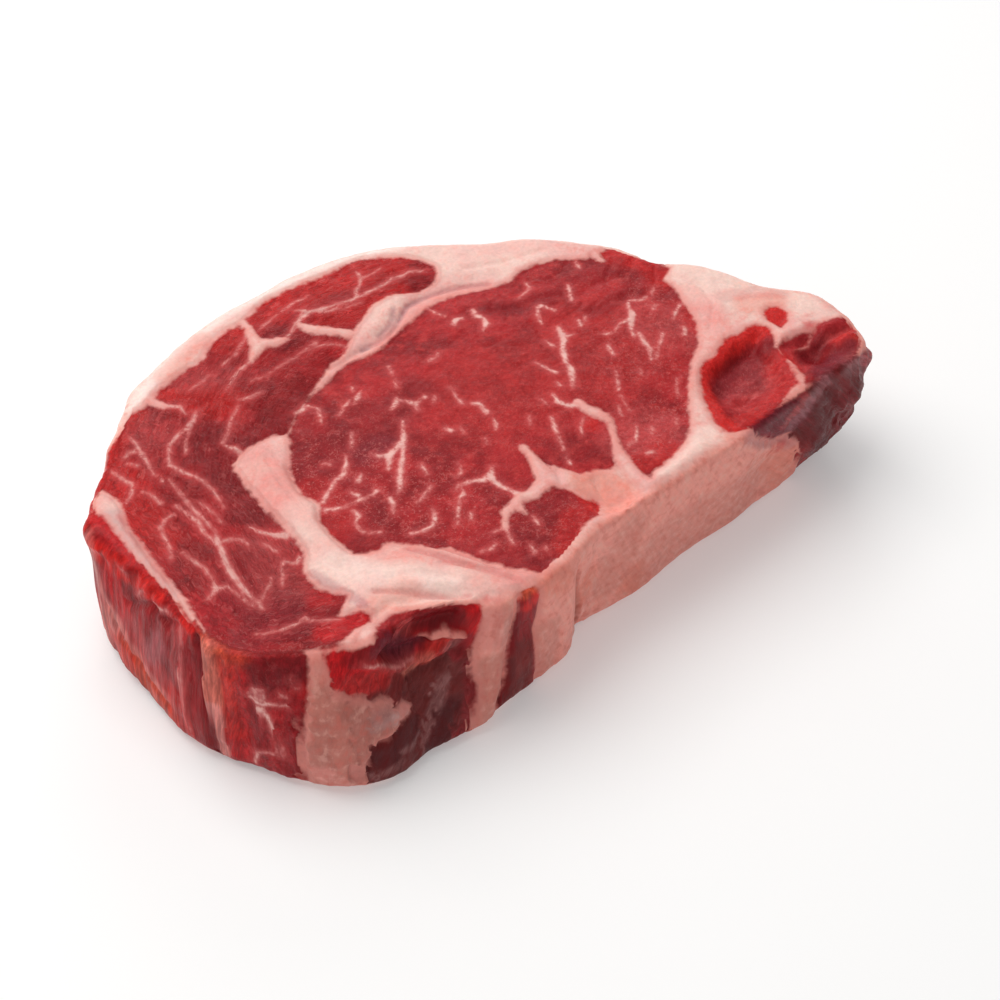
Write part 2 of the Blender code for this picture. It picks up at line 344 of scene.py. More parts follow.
faceVeins = (
    # eye muscle, left half
    (-48.5,-14.5,.9, -45.5,-12,.6, -42.5,-9.6,.6, -39.4,-8.2,.9, -37.4,-5.4,.5, -36.5,-3.4,.4),
    (-49,-17.4,.8, -45,-18.5,.5, -41,-18.3,.5, -37,-18.5,.5, -35.8,-17.6,.9),
    (-41.2,-15.2,.5, -40.2,-16.8,.8), (-38,-12.6,.8, -36.4,-11,.5),
    (-43.6,-20.4,.4, -43.2,-22.6,.8, -45,-24.6,.5, -45.2,-27,.4, -43.8,-29,.4, -41.4,-30.1,.5),
    (-18.8,.5,.4, -20.5,-2.6,.6, -22,-5.6,1, -25,-7.2,.9, -27.8,-8.8,1.3, -29.8,-7.6,.7,
     -30.5,-5.8,.3), (-28,-9.4,1.1, -29.8,-12.8,.6),
    (-22.8,-7.2,.9, -25,-10.6,.7, -27.4,-14,.9, -29,-16.6,1, -30.4,-19.4,.7, -32,-21,.3),
    (-34.3,-21.4,.8, -34.7,-24,.6, -36,-26.5,.3), (-24,-22.8,.4, -26.4,-24.4,.5, -29.4,-26,.4),
    (-27.2,-29.6,.4, -28.5,-33,.8, -30.4,-34.5,.6, -33,-34.7,.6, -36,-34,.4),
    (-19,-28.4,.4, -21,-31,.6, -23,-34,.5, -24.7,-36.8,.3), (-20,-34.8,.3, -21.3,-36.8,.3),
    (-8,-24.4,.4, -9.8,-26.4,1, -12,-27,1, -15,-25.9,.6, -18,-25.8,.5, -19.8,-26.8,.3),
    (-10.2,-27,1.2, -10,-30,.9, -8.7,-33,.7, -7.4,-36,1),
    (-18.3,-27,.4, -18.4,-29,.4, -20,-29.8,.3), (-15.8,-43.4,.7, -16.3,-46,.5, -16.8,-49,.3),
    (-15.8,-43,.4, -18.6,-43.2,.3), (-20.4,-46.7,.3, -22,-47.8,.5, -24.6,-47.2,.3),
    (-13.4,-51,.4, -14,-53.6,.5), (-8.3,-43.3,.4, -8.6,-46.2,.5), (-10.9,-53,.3, -11,-54.4,.3),
    (-42.2,-2.8,.4, -41,-3.8,.5), (-33.6,-1.2,.5, -32.6,1,.5, -31.4,3.2,.4),
    (-22.3,-15,.3, -22.8,-18.4,.6), (-14.6,-19.4,.3, -15.4,-22.4,.3, -17.6,-23,.3),
    # eye muscle, upper part
    (-39.8,16.8,.6, -37.4,17.4,.8, -36,19.8,.4),
    (-35.6,18.4,.4, -34.2,15.6,.5, -35.2,12.6,.5, -36,10.4,.3),
    (-30.8,10.8,.3, -28.6,12.7,.6, -26.4,14.2,.3), (-25.8,12.2,.3, -24.2,14.3,1, -22.4,15.7,.4),
    (-23.8,16.6,.3, -23.2,19,.5), (-12.6,17.2,.3, -11.7,21,.5), (-14.2,12.2,.3, -13.2,14.8,.4),
    (-19.2,5.8,.4, -17,7.2,.9, -15.8,9,.3), (-15.6,8,.3, -14.4,6.4,.5, -13.2,4.8,.9, -13.6,2.2,.3),
    (-12.2,5,.5, -9.8,5.5,.6), (-9,2.8,.3, -7.7,4.4,.3), (-3,5.4,.3, -3.2,2,.3, -3.4,-1.8,.5),
    (-2.4,17,.5, -.8,17.3,.6), (.5,17.7,.3, 1.1,19,.4), (-1.6,-2.6,.5, 0,-3.8,.9, .3,-7.2,.9),
    (.5,-10.2,.4, 0,-12.2,.7, -.8,-13.6,.4), (-11.2,-7.2,.6, -10.6,-8.8,.7),
    (-8,-8.8,.3, -8.4,-11,.4), (-4.8,-15.2,.3, -5.4,-16.8,.3),
    (10.4,26.9,.8, 11.6,28.5,1.1, 13.8,28.1,.4),
    (17.5,29.8,.5, 17,27.2,1, 18,25,.7, 17.5,22.9,1, 15,20.4,.3),
    (8.2,37.6,.4, 8.7,34,.4, 10,30.6,.3),
    (29.7,15.6,.3, 30.5,19,.6, 32.4,21.8,.8, 33.7,22.2,.6, 34.6,20.6,.4, 35.5,18.8,.7),
    (32.6,12.4,.7, 32,9.4,1.2, 31,7,1.1, 29,4.5,.9, 28,2,1, 26.8,-1.2,.6, 26.5,-3.8,1.2, 25,-6.6,.9,
     23.4,-9.8,.5), (31.6,8.2,.9, 34.6,7.6,.3), (26.8,9,.4, 27.4,6,.7),
    (20.2,2.8,.4, 21.5,0,.5, 22.5,-2.8,.8), (20.9,-6,.4, 21.1,-7.8,.5),
    (38.6,12.2,.6, 38.1,10.2,.7), (41.4,13.4,.3, 40,11.2,.4),
    (35.3,32.8,.5, 34.8,30,.5, 32.4,29,.4, 30.2,27.8,.3), (41.8,20.6,.6, 43,23.5,.7, 44.1,26.4,.4),
    (54,12.8,.4, 52.6,10.4,.6, 52,7.8,1.3, 50.4,5.6,1.2, 48.5,3,.7, 47.4,-.4,.4),
    (50.4,6,.9, 47.2,5.6,.5, 44.8,4.4,.3), (54.4,12.9,.4, 57,11.6,.5, 59.4,12.2,.3),
    (49.1,.4,.6, 48.6,-3,1, 48,-7,.7, 46.2,-10,.3),
    (55,-2,.4, 52.5,-5,.6, 50.4,-7.2,.4, 47.6,-10,.3), (61,-3,.6, 59.6,-5.2,.9),
    (65.4,5.8,.4, 62.4,3.2,.6, 60.4,1.4,.4), (63.2,14.8,.3, 61,12.4,.3), (59.8,8.2,.4, 57.8,7,.4),
    (39.8,.2,.6, 39,-3.4,.7), (41.4,4.2,.4, 44.2,3.4,.4), (51.2,33.6,.5, 50.6,31.4,.5),
    # eye muscle, lower right
    (17.6,-9.6,.5, 17.3,-12.6,.9, 18.6,-14.7,.8, 21,-16,.9), (24.6,-22.4,.8, 26.2,-22,.3),
    (20.2,-20.2,.4, 18,-22,.4, 16.2,-25.4,.3),
    (13.1,-16.2,.3, 11.8,-20,.7, 10.8,-24,.5, 9.6,-28,.3), (9,-30,.3, 8.4,-33,.4),
    (14.2,-9,.3, 14.4,-12,.3), (8.4,-13.8,.3, 7.2,-16.4,.3), (34.4,-12.6,.6, 32.8,-15.8,.4),
    (36,-9.6,.3, 35.4,-11.4,.3), (32,-18,.3, 31,-23.6,.3), (29.6,-20.6,.3, 28.4,-24,.4),
    (26.6,-38.4,.6, 28,-38.6,.8), (29.4,-29.4,.4, 26.6,-33.4,.5, 24.2,-33.6,.4),
    (33,-31,.4, 31.4,-33,.4), (41.8,-11.6,.3, 41,-14,.3), (48.4,-18.4,.3, 46.6,-21,.3, 45,-24.2,.3),
    (40,-31,.3, 38.6,-33,.4),
    # cap muscle, upper run
    (-36.6,44,1, -33,43.4,1.2, -30,43.2,.8, -27.6,44.2,.5, -25,46.4,.6, -22,48.4,1, -19,49.2,.9,
     -15,48.4,.7, -10,48.3,.6, -4,48.8,.6, 1,49.8,.6, 6,51.2,.7, 11,51.6,.6, 14.4,50.6,.5),
    (-20,49.4,.8, -22.4,51.4,.4), (-17,47.6,.7, -12,46.6,.4, -6,46.4,.3),
    (-6,49,.6, -5,51.5,.7, -3,53,.6, -1.5,55,.7, -1,58.4,.5), (-1,55,.4, 2,55.6,.4, 5,56.6,.3),
    (-34,49.6,.3, -29,51.8,.4, -24,53.6,.4, -19.6,55.2,.5, -16.6,55.6,.3),
    (-38,42.6,.9, -40.6,40,.8, -44,38.4,.6, -47,36.4,.5, -50.4,33.2,.3),
    (-47.4,42.4,.3, -43,44.2,.4, -40,46.6,.4, -37,49.2,.4),
    (-44,33.2,.3, -40,33,.3, -35,34.8,.3, -29,36.4,.3, -23,38.4,.3),
    (-26,37,.3, -22,36.6,.4, -18.8,35.6,.4, -17,33.6,.4),
    (-49.6,28.4,.4, -46.8,27.4,.8, -43.8,27.6,.4),
    (-67,35.4,1, -65,34,.8, -63.4,32.6,.7, -63.2,29.8,.4),
    (-58.6,37.6,.3, -55,38.6,.3, -52,40.4,.3),
    # cap muscle, left run
    (-60.4,29.6,.4, -63,26.6,.6, -66,24.5,.6, -69,23,.6, -71.6,21,.6, -73,18,.5, -74.4,14.6,.6,
     -73,11.4,.6, -71,8.4,.6, -69.6,5,.6, -69.2,0,.5, -69.4,-5,.3),
    (-61,28,.3, -64,24.8,.4, -67,21.2,.4, -69.4,16.4,.3),
    (-78.4,29,.3, -78,26,.6, -78.4,22,.7, -78.4,18,.6, -79,14.6,.4, -78,10,.4),
    (-82.8,22.8,.4, -80.4,24.2,.5, -78.4,23.4,.5), (-82.4,21,.4, -80.8,18.6,.5),
    (-87,20,.4, -86,16.6,.8, -84.6,13.6,.6, -86,10.2,.6, -88.4,8,.4),
    (-83.6,9.6,.4, -82.2,7,.5, -81.4,3.4,.6),
    (-76.6,10,.4, -76.2,5,.5, -76.2,1,.6, -76,-2.6,.6, -75.2,-7,.5, -74.7,-11,.4, -75.2,-15,.7),
    (-78.8,1,.4, -77.6,-4,.6, -76.6,-8,.7, -77.2,-11,.5, -76,-14.2,.7, -75.6,-16.4,.9, -76.5,-20,1,
     -77.2,-25,1.1, -77,-30,.9, -76.4,-35,.6, -75.8,-38.6,.6),
    (-75,-15,.6, -72,-15.5,.5, -70.5,-17,.6, -70,-19,.4), (-73.6,-1,.3, -72.6,-5,.3, -72.2,-9.4,.3),
    (-80.4,-1.4,.4, -83,-2,.6, -84.8,-3.6,.6, -85.4,-7,.5, -85.8,-11,.5, -86.8,-14,.3),
    (-84,-13.6,.3, -83,-17,.5, -81.8,-21,.5, -81.5,-25,.4, -82.2,-27.4,.7),
    (-85,-29.8,.4, -82,-27.9,.9, -79.8,-28.8,.5, -79,-31,.4, -78.2,-34,.4, -77.2,-37,.4),
    (-66.8,-13.6,.3, -65.3,-16,.7, -63,-18,1.1, -60.8,-19.6,1.5), (-66.4,-20,.4, -65,-23.4,.6),
    (-61,-27.6,.8, -62.6,-29,.6, -65,-27,.5, -66.2,-28.8,.4, -67.2,-31.4,.5, -68.8,-34.4,.3),
    (-75.2,-36.4,.5, -73,-34,.4, -71,-32.6,.5, -69.8,-30.8,.3),
    (-80.4,-44.8,.3, -76,-46.4,.4, -72,-46.4,.5, -68.4,-45.4,.3),
    (-69.4,-45.8,.4, -66,-48,.5, -62.4,-49.8,.4), (-91.6,-27,.8, -89.4,-28,.4),
    (-59.8,15.8,.4, -57,19,.4, -55,22,.4, -52.6,24.6,.4, -50.4,26.6,.3),
    (-60,15,.3, -58.2,12.6,1, -57.4,10.6,.9),
)

# colours that are washed over the meat, as red, green and blue
palette = {
    "deep": (112, 16, 24), "purple": (106, 34, 46), "brown": (98, 36, 34), "umber": (62, 16, 20),
    "wine": (132, 30, 36), "warm": (182, 42, 40), "bright": (196, 24, 30), "scarlet": (206, 32, 26),
    "orange": (222, 92, 66), "rose": (196, 84, 84), "pink": (226, 142, 134),
    "mauve": (172, 118, 124), "salmon": (228, 130, 112), "tan": (184, 110, 98),
    # shade is painted shade: the colour of fat where less light falls
    "shade": (150, 88, 80), "cream": (246, 218, 206), "white": (252, 236, 228),
    "grey": (204, 168, 164), "smoke": (150, 106, 104),
}

# creases of the cut face that are both a groove and a line of colour; along the eye's furrows and
# the seam's fold that line is partly painted shade
creases = {
    "eyeFurrow": (22,27, 28,24.6, 34,25.4, 41,23.6),
    "eyeFurrowRight": (43,13.4, 50,15, 58,15.6),
    "fatFold": (-38.4,-38.6, -34,-44.4, -30.9,-49.2, -25,-56.6, -19.9,-63),
    "fatFoldInner": (-31,-43.3, -27,-50, -24.2,-55.2),
    "fatFoldOuter": (-52,-47, -44,-52, -37,-57.4, -34,-58.6),
    "rimNick": (-31.5,-60.6, -28,-62.2, -25.4,-63.8),
    "seamFold": (-8,33, -4,35, -1.5,37.6, 0,40),
}

# washes of the cut face: colour, strength, half width, feather, points
faceLeanWashes = (
    # eye muscle
    ("warm", 0.45, 10, 14, (4,-2, 28,-4, 42,4)),
    ("deep", 0.40, 5, 8, (-40,8, -45,-6, -44,-26)),
    ("purple", 0.55, 2.5, 4, (-31,-5, -27,-4.5)),
    ("deep", 0.45, 3, 5, (-36,-2, -24,4, -10,8)),
    ("deep", 0.35, 5, 7, (-20,-50, -4,-45)),
    # painted shade, partly the meat's own dark streaks: the lean darkens along the eye's furrows
    ("deep", 0.45, 1.6, 3, creases["eyeFurrow"]),
    ("deep", 0.50, 1.2, 2.5, creases["eyeFurrowRight"]),
    ("deep", 0.40, 2.5, 4, (52,27, 57,28)),
    ("scarlet", 0.40, 1.5, 3, (60,31, 66,24, 67,16)),
    ("scarlet", 0.40, 1.2, 2.5, (63,-5, 66,2)),
    ("rose", 0.30, 4, 5, (57,4, 56,-4)),
    ("rose", 0.40, 4, 5, (25,-32, 33,-32)),
    ("scarlet", 0.35, 2, 3, (23,-40, 31,-40)),
    ("scarlet", 0.55, 1.5, 2.5, (7,-44, 6.5,-47)),
    ("scarlet", 0.35, 2, 3, (-6,-55, 0,-49)),
    ("scarlet", 0.45, 1.5, 2, (19.8,-23)),
    ("scarlet", 0.25, 3, 4, (-49,-22, -48,-11)),
    # cap muscle
    ("deep", 0.55, 3, 5, (-64,20, -63,6, -64,-8)),
    ("deep", 0.45, 4, 6, (-72,-26, -72,-38)),
    ("purple", 0.35, 4, 6, (-83,-34, -80,-42, -72,-43)),
    ("rose", 0.30, 4, 5, (-65,-22, -67,-34)),
    ("scarlet", 0.45, 3, 4, (-86,17, -87,4, -87,-6)),
    ("bright", 0.35, 3, 4, (-88,-30, -88,-38)),
    ("bright", 0.55, 2, 2.5, (-63,-42, -63.5,-44.5)),
    ("deep", 0.70, 1.4, 2, (-66.5,-46.4, -63,-47)),
    ("bright", 0.75, 1.5, 2.5, (-67,-52, -59,-52)),
    ("scarlet", 0.50, 1.5, 3, (-86,24, -79,33, -74,36)),
    ("scarlet", 0.55, 1.5, 2.5, (-66,39, -64,38.6)),
    ("scarlet", 0.45, 3, 5, (-60,34, -54,30)),
    ("scarlet", 0.45, 3, 4, (-42,50, -26,56, -8,58, 8,56)),
    ("bright", 0.55, 1.6, 2.5, (-19,34)),
    ("scarlet", 0.45, 2, 3, (-16,45, -8,44.6, 4,47)),
    ("deep", 0.40, 2, 4, (-32,47, -27,41)),
    ("deep", 0.45, 2, 3.5, (-56,14.5, -48,16.5)),
    ("rose", 0.30, 3, 4, (-58,42, -50,38)),
    ("rose", 0.30, 3, 4, (-73,30, -72,26)),
    ("bright", 0.85, 4, 3, (-99,8, -97,-6)),
    # tail muscle
    ("scarlet", 0.80, 1.6, 2.0, (48.5,-41.5, 48,-35, 52,-26, 57,-19, 64,-15.4, 72,-13.2, 78,-13.5)),
    ("scarlet", 0.45, 2.5, 3, (52,-41, 63,-38.5, 71,-34.5, 74,-26)),
    # painted shade: the deep band darkens the far wall of the tail's hollow
    ("deep", 0.70, 1.2, 2.0, (57,-25, 61,-21.4, 66,-19.4, 72,-18.4, 75,-18.6)),
    ("purple", 0.45, 2, 3, (59,-25, 68,-23)),
    ("rose", 0.22, 4, 5, (60,-31, 68,-27)),
    ("rose", 0.35, 0.5, 1.4, (60,-28, 66,-30, 71,-28)),
    ("rose", 0.30, 0.4, 1.2, (64,-34, 69,-31)),
    ("scarlet", 0.8, 3, 2, (84,-11.5)),
    ("wine", 0.35, 3, 3, (92,-22, 97,-23)),
    # painted highlights: thin rose lines across the middle of the tail's end
    ("rose", 0.55, 0.6, 1.6, (86,-26.4, 90,-25.4, 94,-26, 98,-25)),
    ("orange", 0.55, 0.5, 1.4, (91,-30, 95,-29.4, 98.6,-29)),
    ("salmon", 0.60, 0.7, 1.6, (90,-33.6, 94,-32.6)),
    ("wine", 0.35, 2, 2.5, (80,-21.6, 87,-21.6)),
    ("scarlet", 0.60, 1.2, 2.2, (89,-29, 94,-27.6, 98,-27)),
    ("deep", 0.85, 2.6, 2.4, (82,-28, 86,-27.5)),
    ("purple", 0.8, 2.5, 2.5, (82,-35, 93,-32)),
)

faceFatWashes = (
    ("pink", 0.60, 2.5, 4, (-55,7, -56,-4, -56.5,-14)),
    ("pink", 0.35, 1.5, 3, (-52.5,-2, -53,-20, -53,-30)),
    ("pink", 0.55, 2, 5, (-43,-36.5, -31,-44.7, -22.8,-54.6, -17.2,-61)),
    ("cream", 0.38, 3, 5, (-54.5,-18, -55.5,-32, -50,-44.6, -41,-52, -33,-56)),
    ("white", 0.20, 1.5, 4, (-55,-34, -50,-43, -41,-50.5, -36,-54)),
    ("rose", 0.45, 0.3, 1.4, creases["fatFold"]),
    ("rose", 0.40, 0.3, 1.2, creases["fatFoldInner"]),
    ("rose", 0.45, 0.2, 1.0, creases["fatFoldOuter"]),
    ("salmon", 0.60, 0.3, 1.6, (-50,-54.4, -42,-57.2, -36,-60.2, -31,-62.6)),
    ("scarlet", 0.80, 0.3, 0.9, creases["rimNick"]),
    ("cream", 0.3, 6, 8, (40,43, 28,50, 10,62)),
    ("white", 0.75, 1.5, 3, (-74,40, -58,52, -40,60.5, -10,66, 14,64)),
    ("salmon", 0.40, 1.4, 2.5, (-62,45, -54,50, -48,54)),
    ("grey", 0.85, 2.4, 2.5, (-93,4, -92.5,-8, -91,-22)),
    ("rose", 0.60, 0.6, 1.4, (-91.4,4, -91,-8, -90.4,-20)),
    ("rose", 0.60, 0.8, 1.6, (76.6,-25, 76,-30)),
    ("rose", 0.85, 1.4, 2.0, (79,-24.5, 85,-23.4, 89,-20)),
    ("tan", 0.55, 1.2, 2.0, (75,-32, 68,-37.6, 60,-41.4)),
    ("salmon", 0.60, 1.0, 2.0, (-68,-58, -76,-55.6, -84,-52.6, -90,-46)),
    # painted shade: the salmon wash darkens the fat where it slopes down to the side
    ("salmon", 0.75, 3, 4, (10,-40, 13,-45, 12,-52)),
    ("pink", 0.50, 2.0, 3, (24,-27, 22,-32)),
    ("cream", 0.50, 2.0, 2.5, (27,-47, 36,-44.5, 42,-40)),
    ("salmon", 0.6, 1.6, 2.4, (36,-48.6, 41,-47)),
    ("cream", 0.55, 5, 8, (72,16, 80,6, 92,-4)),
    ("salmon", 0.5, 2.5, 3, (80,-4, 86,-6)),
    ("rose", 0.30, 1.2, 2.6, (76,2, 84,-1, 90,-4)),
    ("salmon", 0.6, 1.6, 3, (48,-45, 58,-44.5, 72,-41)),
    ("salmon", 0.35, 2, 3, (-52,-51, -46,-50)),
    ("pink", 0.45, 2.5, 4, (-30,-57, -14,-63)),
    ("pink", 0.40, 2, 4, (68.5,8, 69,-3, 62,-11, 52,-25)),
    # mauve lines of the membrane along the seams; where they follow the seams' grooves they are
    # also painted shade
    ("mauve", 0.75, 0.35, 0.8, (-14,30.6, -9,31.2, -5,32.6, -2,34.8, 1,37.6, 4,40, 9,41.2, 15,41.2,
     21,40.4, 27,38.2)),
    ("mauve", 0.55, 0.3, 0.6, creases["seamFold"]),
    ("pink", 0.60, 1.3, 1.8, (-10,29.8, -4,31.8, 1,34.4, 6,37.8, 12,39.6, 20,39, 26,37.4)),
    ("mauve", 0.75, 0.35, 0.6, (-58,11.4, -53,12.9, -47,15.4)),
    ("mauve", 0.50, 0.8, 1.2, (-61,-34, -59,-40, -57,-46, -56,-49)),
    ("smoke", 0.55, 0.25, 0.5, (-91.4,1, -91.3,-6, -90.6,-12)),
    ("mauve", 0.7, 2.5, 2.5, (78,-38, 88,-36)),
)

# ridges and grooves of the cut face: height, half width, points, in mm
faceRidges = (
    (-0.7, 0.8, (-24,28.5, -20,29.4, -10,31, -5,32.6, -2,34.8, 1,37.6, 4,40, 9,41.2, 15,41.2,
     21,40.4, 27,38.2)), (0.5, 2.0, (-16,32, -8,36, -2,40, 6,43.5)),
    (-0.35, 0.6, creases["seamFold"]),
    (-0.6, 0.9, (-61,9, -58,9.8, -55,10.7, -50,12.3, -46,12)),
    (0.6, 4.0, (-55,7, -56,-2, -56,-14, -55.5,-24, -55,-34, -52,-43)),
    (-0.5, 0.9, (-50.5,0, -51.7,-8, -50,-14.5, -52.3,-20, -52.3,-26, -50.8,-32.5, -47,-35)),
    (-0.35, 0.8, (-42,-34.5, -36,-39.3, -31,-43.2, -27.5,-49, -22.5,-55.5, -16,-61)),
    (0.8, 5.0, (-40,-45, -30,-53, -24,-59)),
    (-0.8, 1.2, (-56,-53.5, -50,-51.5, -44,-53.5, -36,-57)),
    (0.7, 1.8, (-50,-55.5, -42,-58.5, -34,-60.5)),
    (-0.4, 0.8, (-47,-45, -41,-47, -36,-51, -33,-55)),
    (-0.4, 0.8, (-34,-47, -29,-51, -24,-57, -20,-61)), (-0.5, 0.9, (-30,-60, -25,-62, -18,-63.4)),
    (0.4, 1.2, (-60,-46.5, -57,-50.5)), (-0.7, 1.0, (4.5,-33, 3,-38, 7,-43, 9,-48)),
    (-0.5, 1.0, (18,-39, 18.5,-46, 20,-50)), (-0.4, 0.8, (11,-39, 10,-45, 11,-51)),
    (0.5, 1.6, (22,-48, 32,-45.5, 40,-42)),
    # furrows of the eye muscle
    (-0.5, 1.2, creases["eyeFurrow"]), (-0.5, 1.0, creases["eyeFurrowRight"]),
    (-0.4, 0.9, (28,30, 36,31, 42,29.6)), (-0.35, 0.9, (46,22, 52,23.6, 58,22.8)),
    (-0.35, 1.0, (10,15, 15,14.4, 22,16)), (-0.3, 0.7, (47.4,-19.6, 50.6,-16)),
    # furrows of the cap muscle
    (-0.45, 0.9, (-63,24, -65,14, -65,4)), (-0.4, 0.9, (-73.4,-16, -73.8,-26, -73.4,-34)),
    (-0.4, 0.9, (-88.6,2, -88.8,-10, -87.6,-20)), (-0.4, 0.8, (-31,46, -27,42.4, -24,41)),
    (-0.4, 0.9, (-68,-46.8, -64,-47.6, -60,-50)), (0.4, 1.4, (-64,-43, -61.5,-45.5)),
    # folds of the tail and its end
    (-0.9, 0.9, (87,-25.4, 92,-25, 99,-24.6)), (0.9, 1.8, (90,-22, 97,-21)),
    (0.9, 1.6, (90,-28, 96,-27.6)), (-0.8, 0.9, (79,-22, 82,-22.8, 86,-22.4, 89,-21)),
    (0.6, 1.4, (81,-18.6, 86,-18.2)), (-0.6, 0.9, (60,-20.4, 68,-18, 74,-17)),
    (0.6, 1.3, (58,-29, 64,-26, 70,-25)), (-0.5, 0.8, (57,-32, 64,-30, 70,-29)),
    (0.5, 1.2, (60,-36, 67,-33)),
    # creases of the fat
    (-0.45, 0.7, (-55.6,9, -57,2, -57.6,-6)), (-0.40, 0.6, (-54,4, -54.6,-6, -54,-16)),
    (-0.45, 0.8, (-57.4,-26, -56.4,-34, -52.6,-41)),
    (-0.7, 0.7, creases["fatFold"]),
    (0.7, 1.2, (-36,-38.8, -32,-44, -28.4,-50, -24,-57)),
    (-0.6, 0.6, creases["fatFoldInner"]),
    (-0.6, 0.6, creases["fatFoldOuter"]),
    (0.6, 1.4, (-46,-48, -40,-51.4, -34,-54.6)), (-0.5, 0.7, creases["rimNick"]),
    (0.6, 1.0, (-13.4,-59, -11,-61, -8,-61.4)), (-0.45, 0.7, (70,16, 74,8, 72,0, 66,-7)),
    (-0.40, 0.7, (78,8, 84,1, 92,-6)), (-0.40, 0.7, (24,46, 34,43, 46,42)),
    (-0.40, 0.7, (14,-47, 13,-52, 15,-55)),
)

# the side, as s clockwise along the rim from the left end and height z, in mm
sideLean = (
    (249,-2, 248.5,12, 249.5,22, 252,30, 256,34, 262,36.5, 268,37, 272,36, 278,38, 284,41, 321,41,
     318,35, 308,26, 300,23, 296.5,18, 294,10, 292,2, 291,-2),
    (391.5,-2, 392.2,5, 393.2,10, 394.2,16, 394.4,24, 394,32, 394.4,36, 395.6,38.8, 397,40.4,
     399.6,40, 400.4,37, 400.6,33, 401.4,30, 402.4,25, 403.6,20, 404,15, 404.6,10, 406,5, 406.4,-2),
    (410,41, 409.3,37, 409.8,32, 411,28, 412,24, 412,19, 411,14, 411.4,9, 413,4, 414,-2, 480,-2,
     522.4,-2, 559,-2, 555,4, 553.6,9, 549.4,13, 547.6,17, 549.4,22, 546.4,26, 542.6,28.6, 543.4,33,
     547,36.6, 551.4,41, 480,41),
    (146,-2, 145,8, 146.4,17, 149.6,25, 152.4,23, 151.6,14, 153.6,6, 153,-2),
    (204,41, 203,33, 205,25, 208.4,18, 210.6,21, 209,30, 210.6,41),
    (84,-2, 85,6, 83.4,13, 86,19.6, 89.4,14, 91,6, 90,-2),
)

# patches of fat on the lean of the side
sideFat = (
    (440,26.8, 443,28.2, 445,30, 446.6,33, 447.2,36, 448,38.8, 450.4,38.6, 450.6,35, 451,30, 452,25,
     452.5,20, 453,15, 453.4,10, 452.8,5, 452,-2, 439.6,-2, 440.4,5, 440.2,9, 438.6,12, 436.6,14.4,
     434.4,15.5, 431.6,16.8, 431.4,18.6, 433.8,21.4, 436.8,24.4),
)

# strokes of fat on the side, as s, z and half width
sideFatStrokes = (
    (413.6,30.8,.3, 416.6,32.4,.35, 418.6,33.2,.5, 421,32.8,.3, 423.6,32.4,.1),
    (436,40.8,.6, 438.4,40,1.2, 441.4,39.8,1, 444.4,40.2,.4, 450,40.4,.3),
    (297,39.4,.5, 303,40,1, 311,40.6,.6),
)

# the marbling of the side
sideVeins = (
    # the grainy muscle
    (455,26,.3, 458,26.6,.5, 460.4,26,.6, 462,25,.8, 461,23,.8, 459.6,20,.7, 458.8,16.6,1, 458,13,1,
     457.6,10,.6),
    (461,30.4,.3, 460.8,28,.5, 461.6,26,.6, 463.4,26.4,.5, 464,28.2,.5, 463,29.8,.4, 461.6,30.2,.3),
    (458.4,10.2,.5, 461,10.2,.6, 463.2,8.8,.7, 464.2,4.4,.5), (453.4,31,.3, 454.4,33.4,.4),
    (456,28.4,.3, 457,29.2,.4),
    # the left wall
    (480.2,3,.1, 480.8,14,.2, 481.6,24,.2, 483,31,.2, 484.6,36.6,.1),
    # painted highlights: short pale strokes on the lumps along the top of the left wall
    (489,36.4,.2, 491.6,35,.6, 494,35.8,.4), (498,36.8,.3, 500,34.4,.4, 501,32.4,.2),
    (506,36.8,.2, 507.6,35.4,.5),
    # the dark meat under the ledge
    (426.6,28.4,.1, 431,28.8,.3, 434,31.2,.4, 436.4,33.6,.3, 439.4,35.4,.2),
    # round the back
    (529,39,.5, 530.6,33,.4, 529.6,28,.1), (541,39,.5, 540,31,.4, 542.4,22,.1),
    (536,2,.3, 537,9,.5, 535.4,15,.1),
)

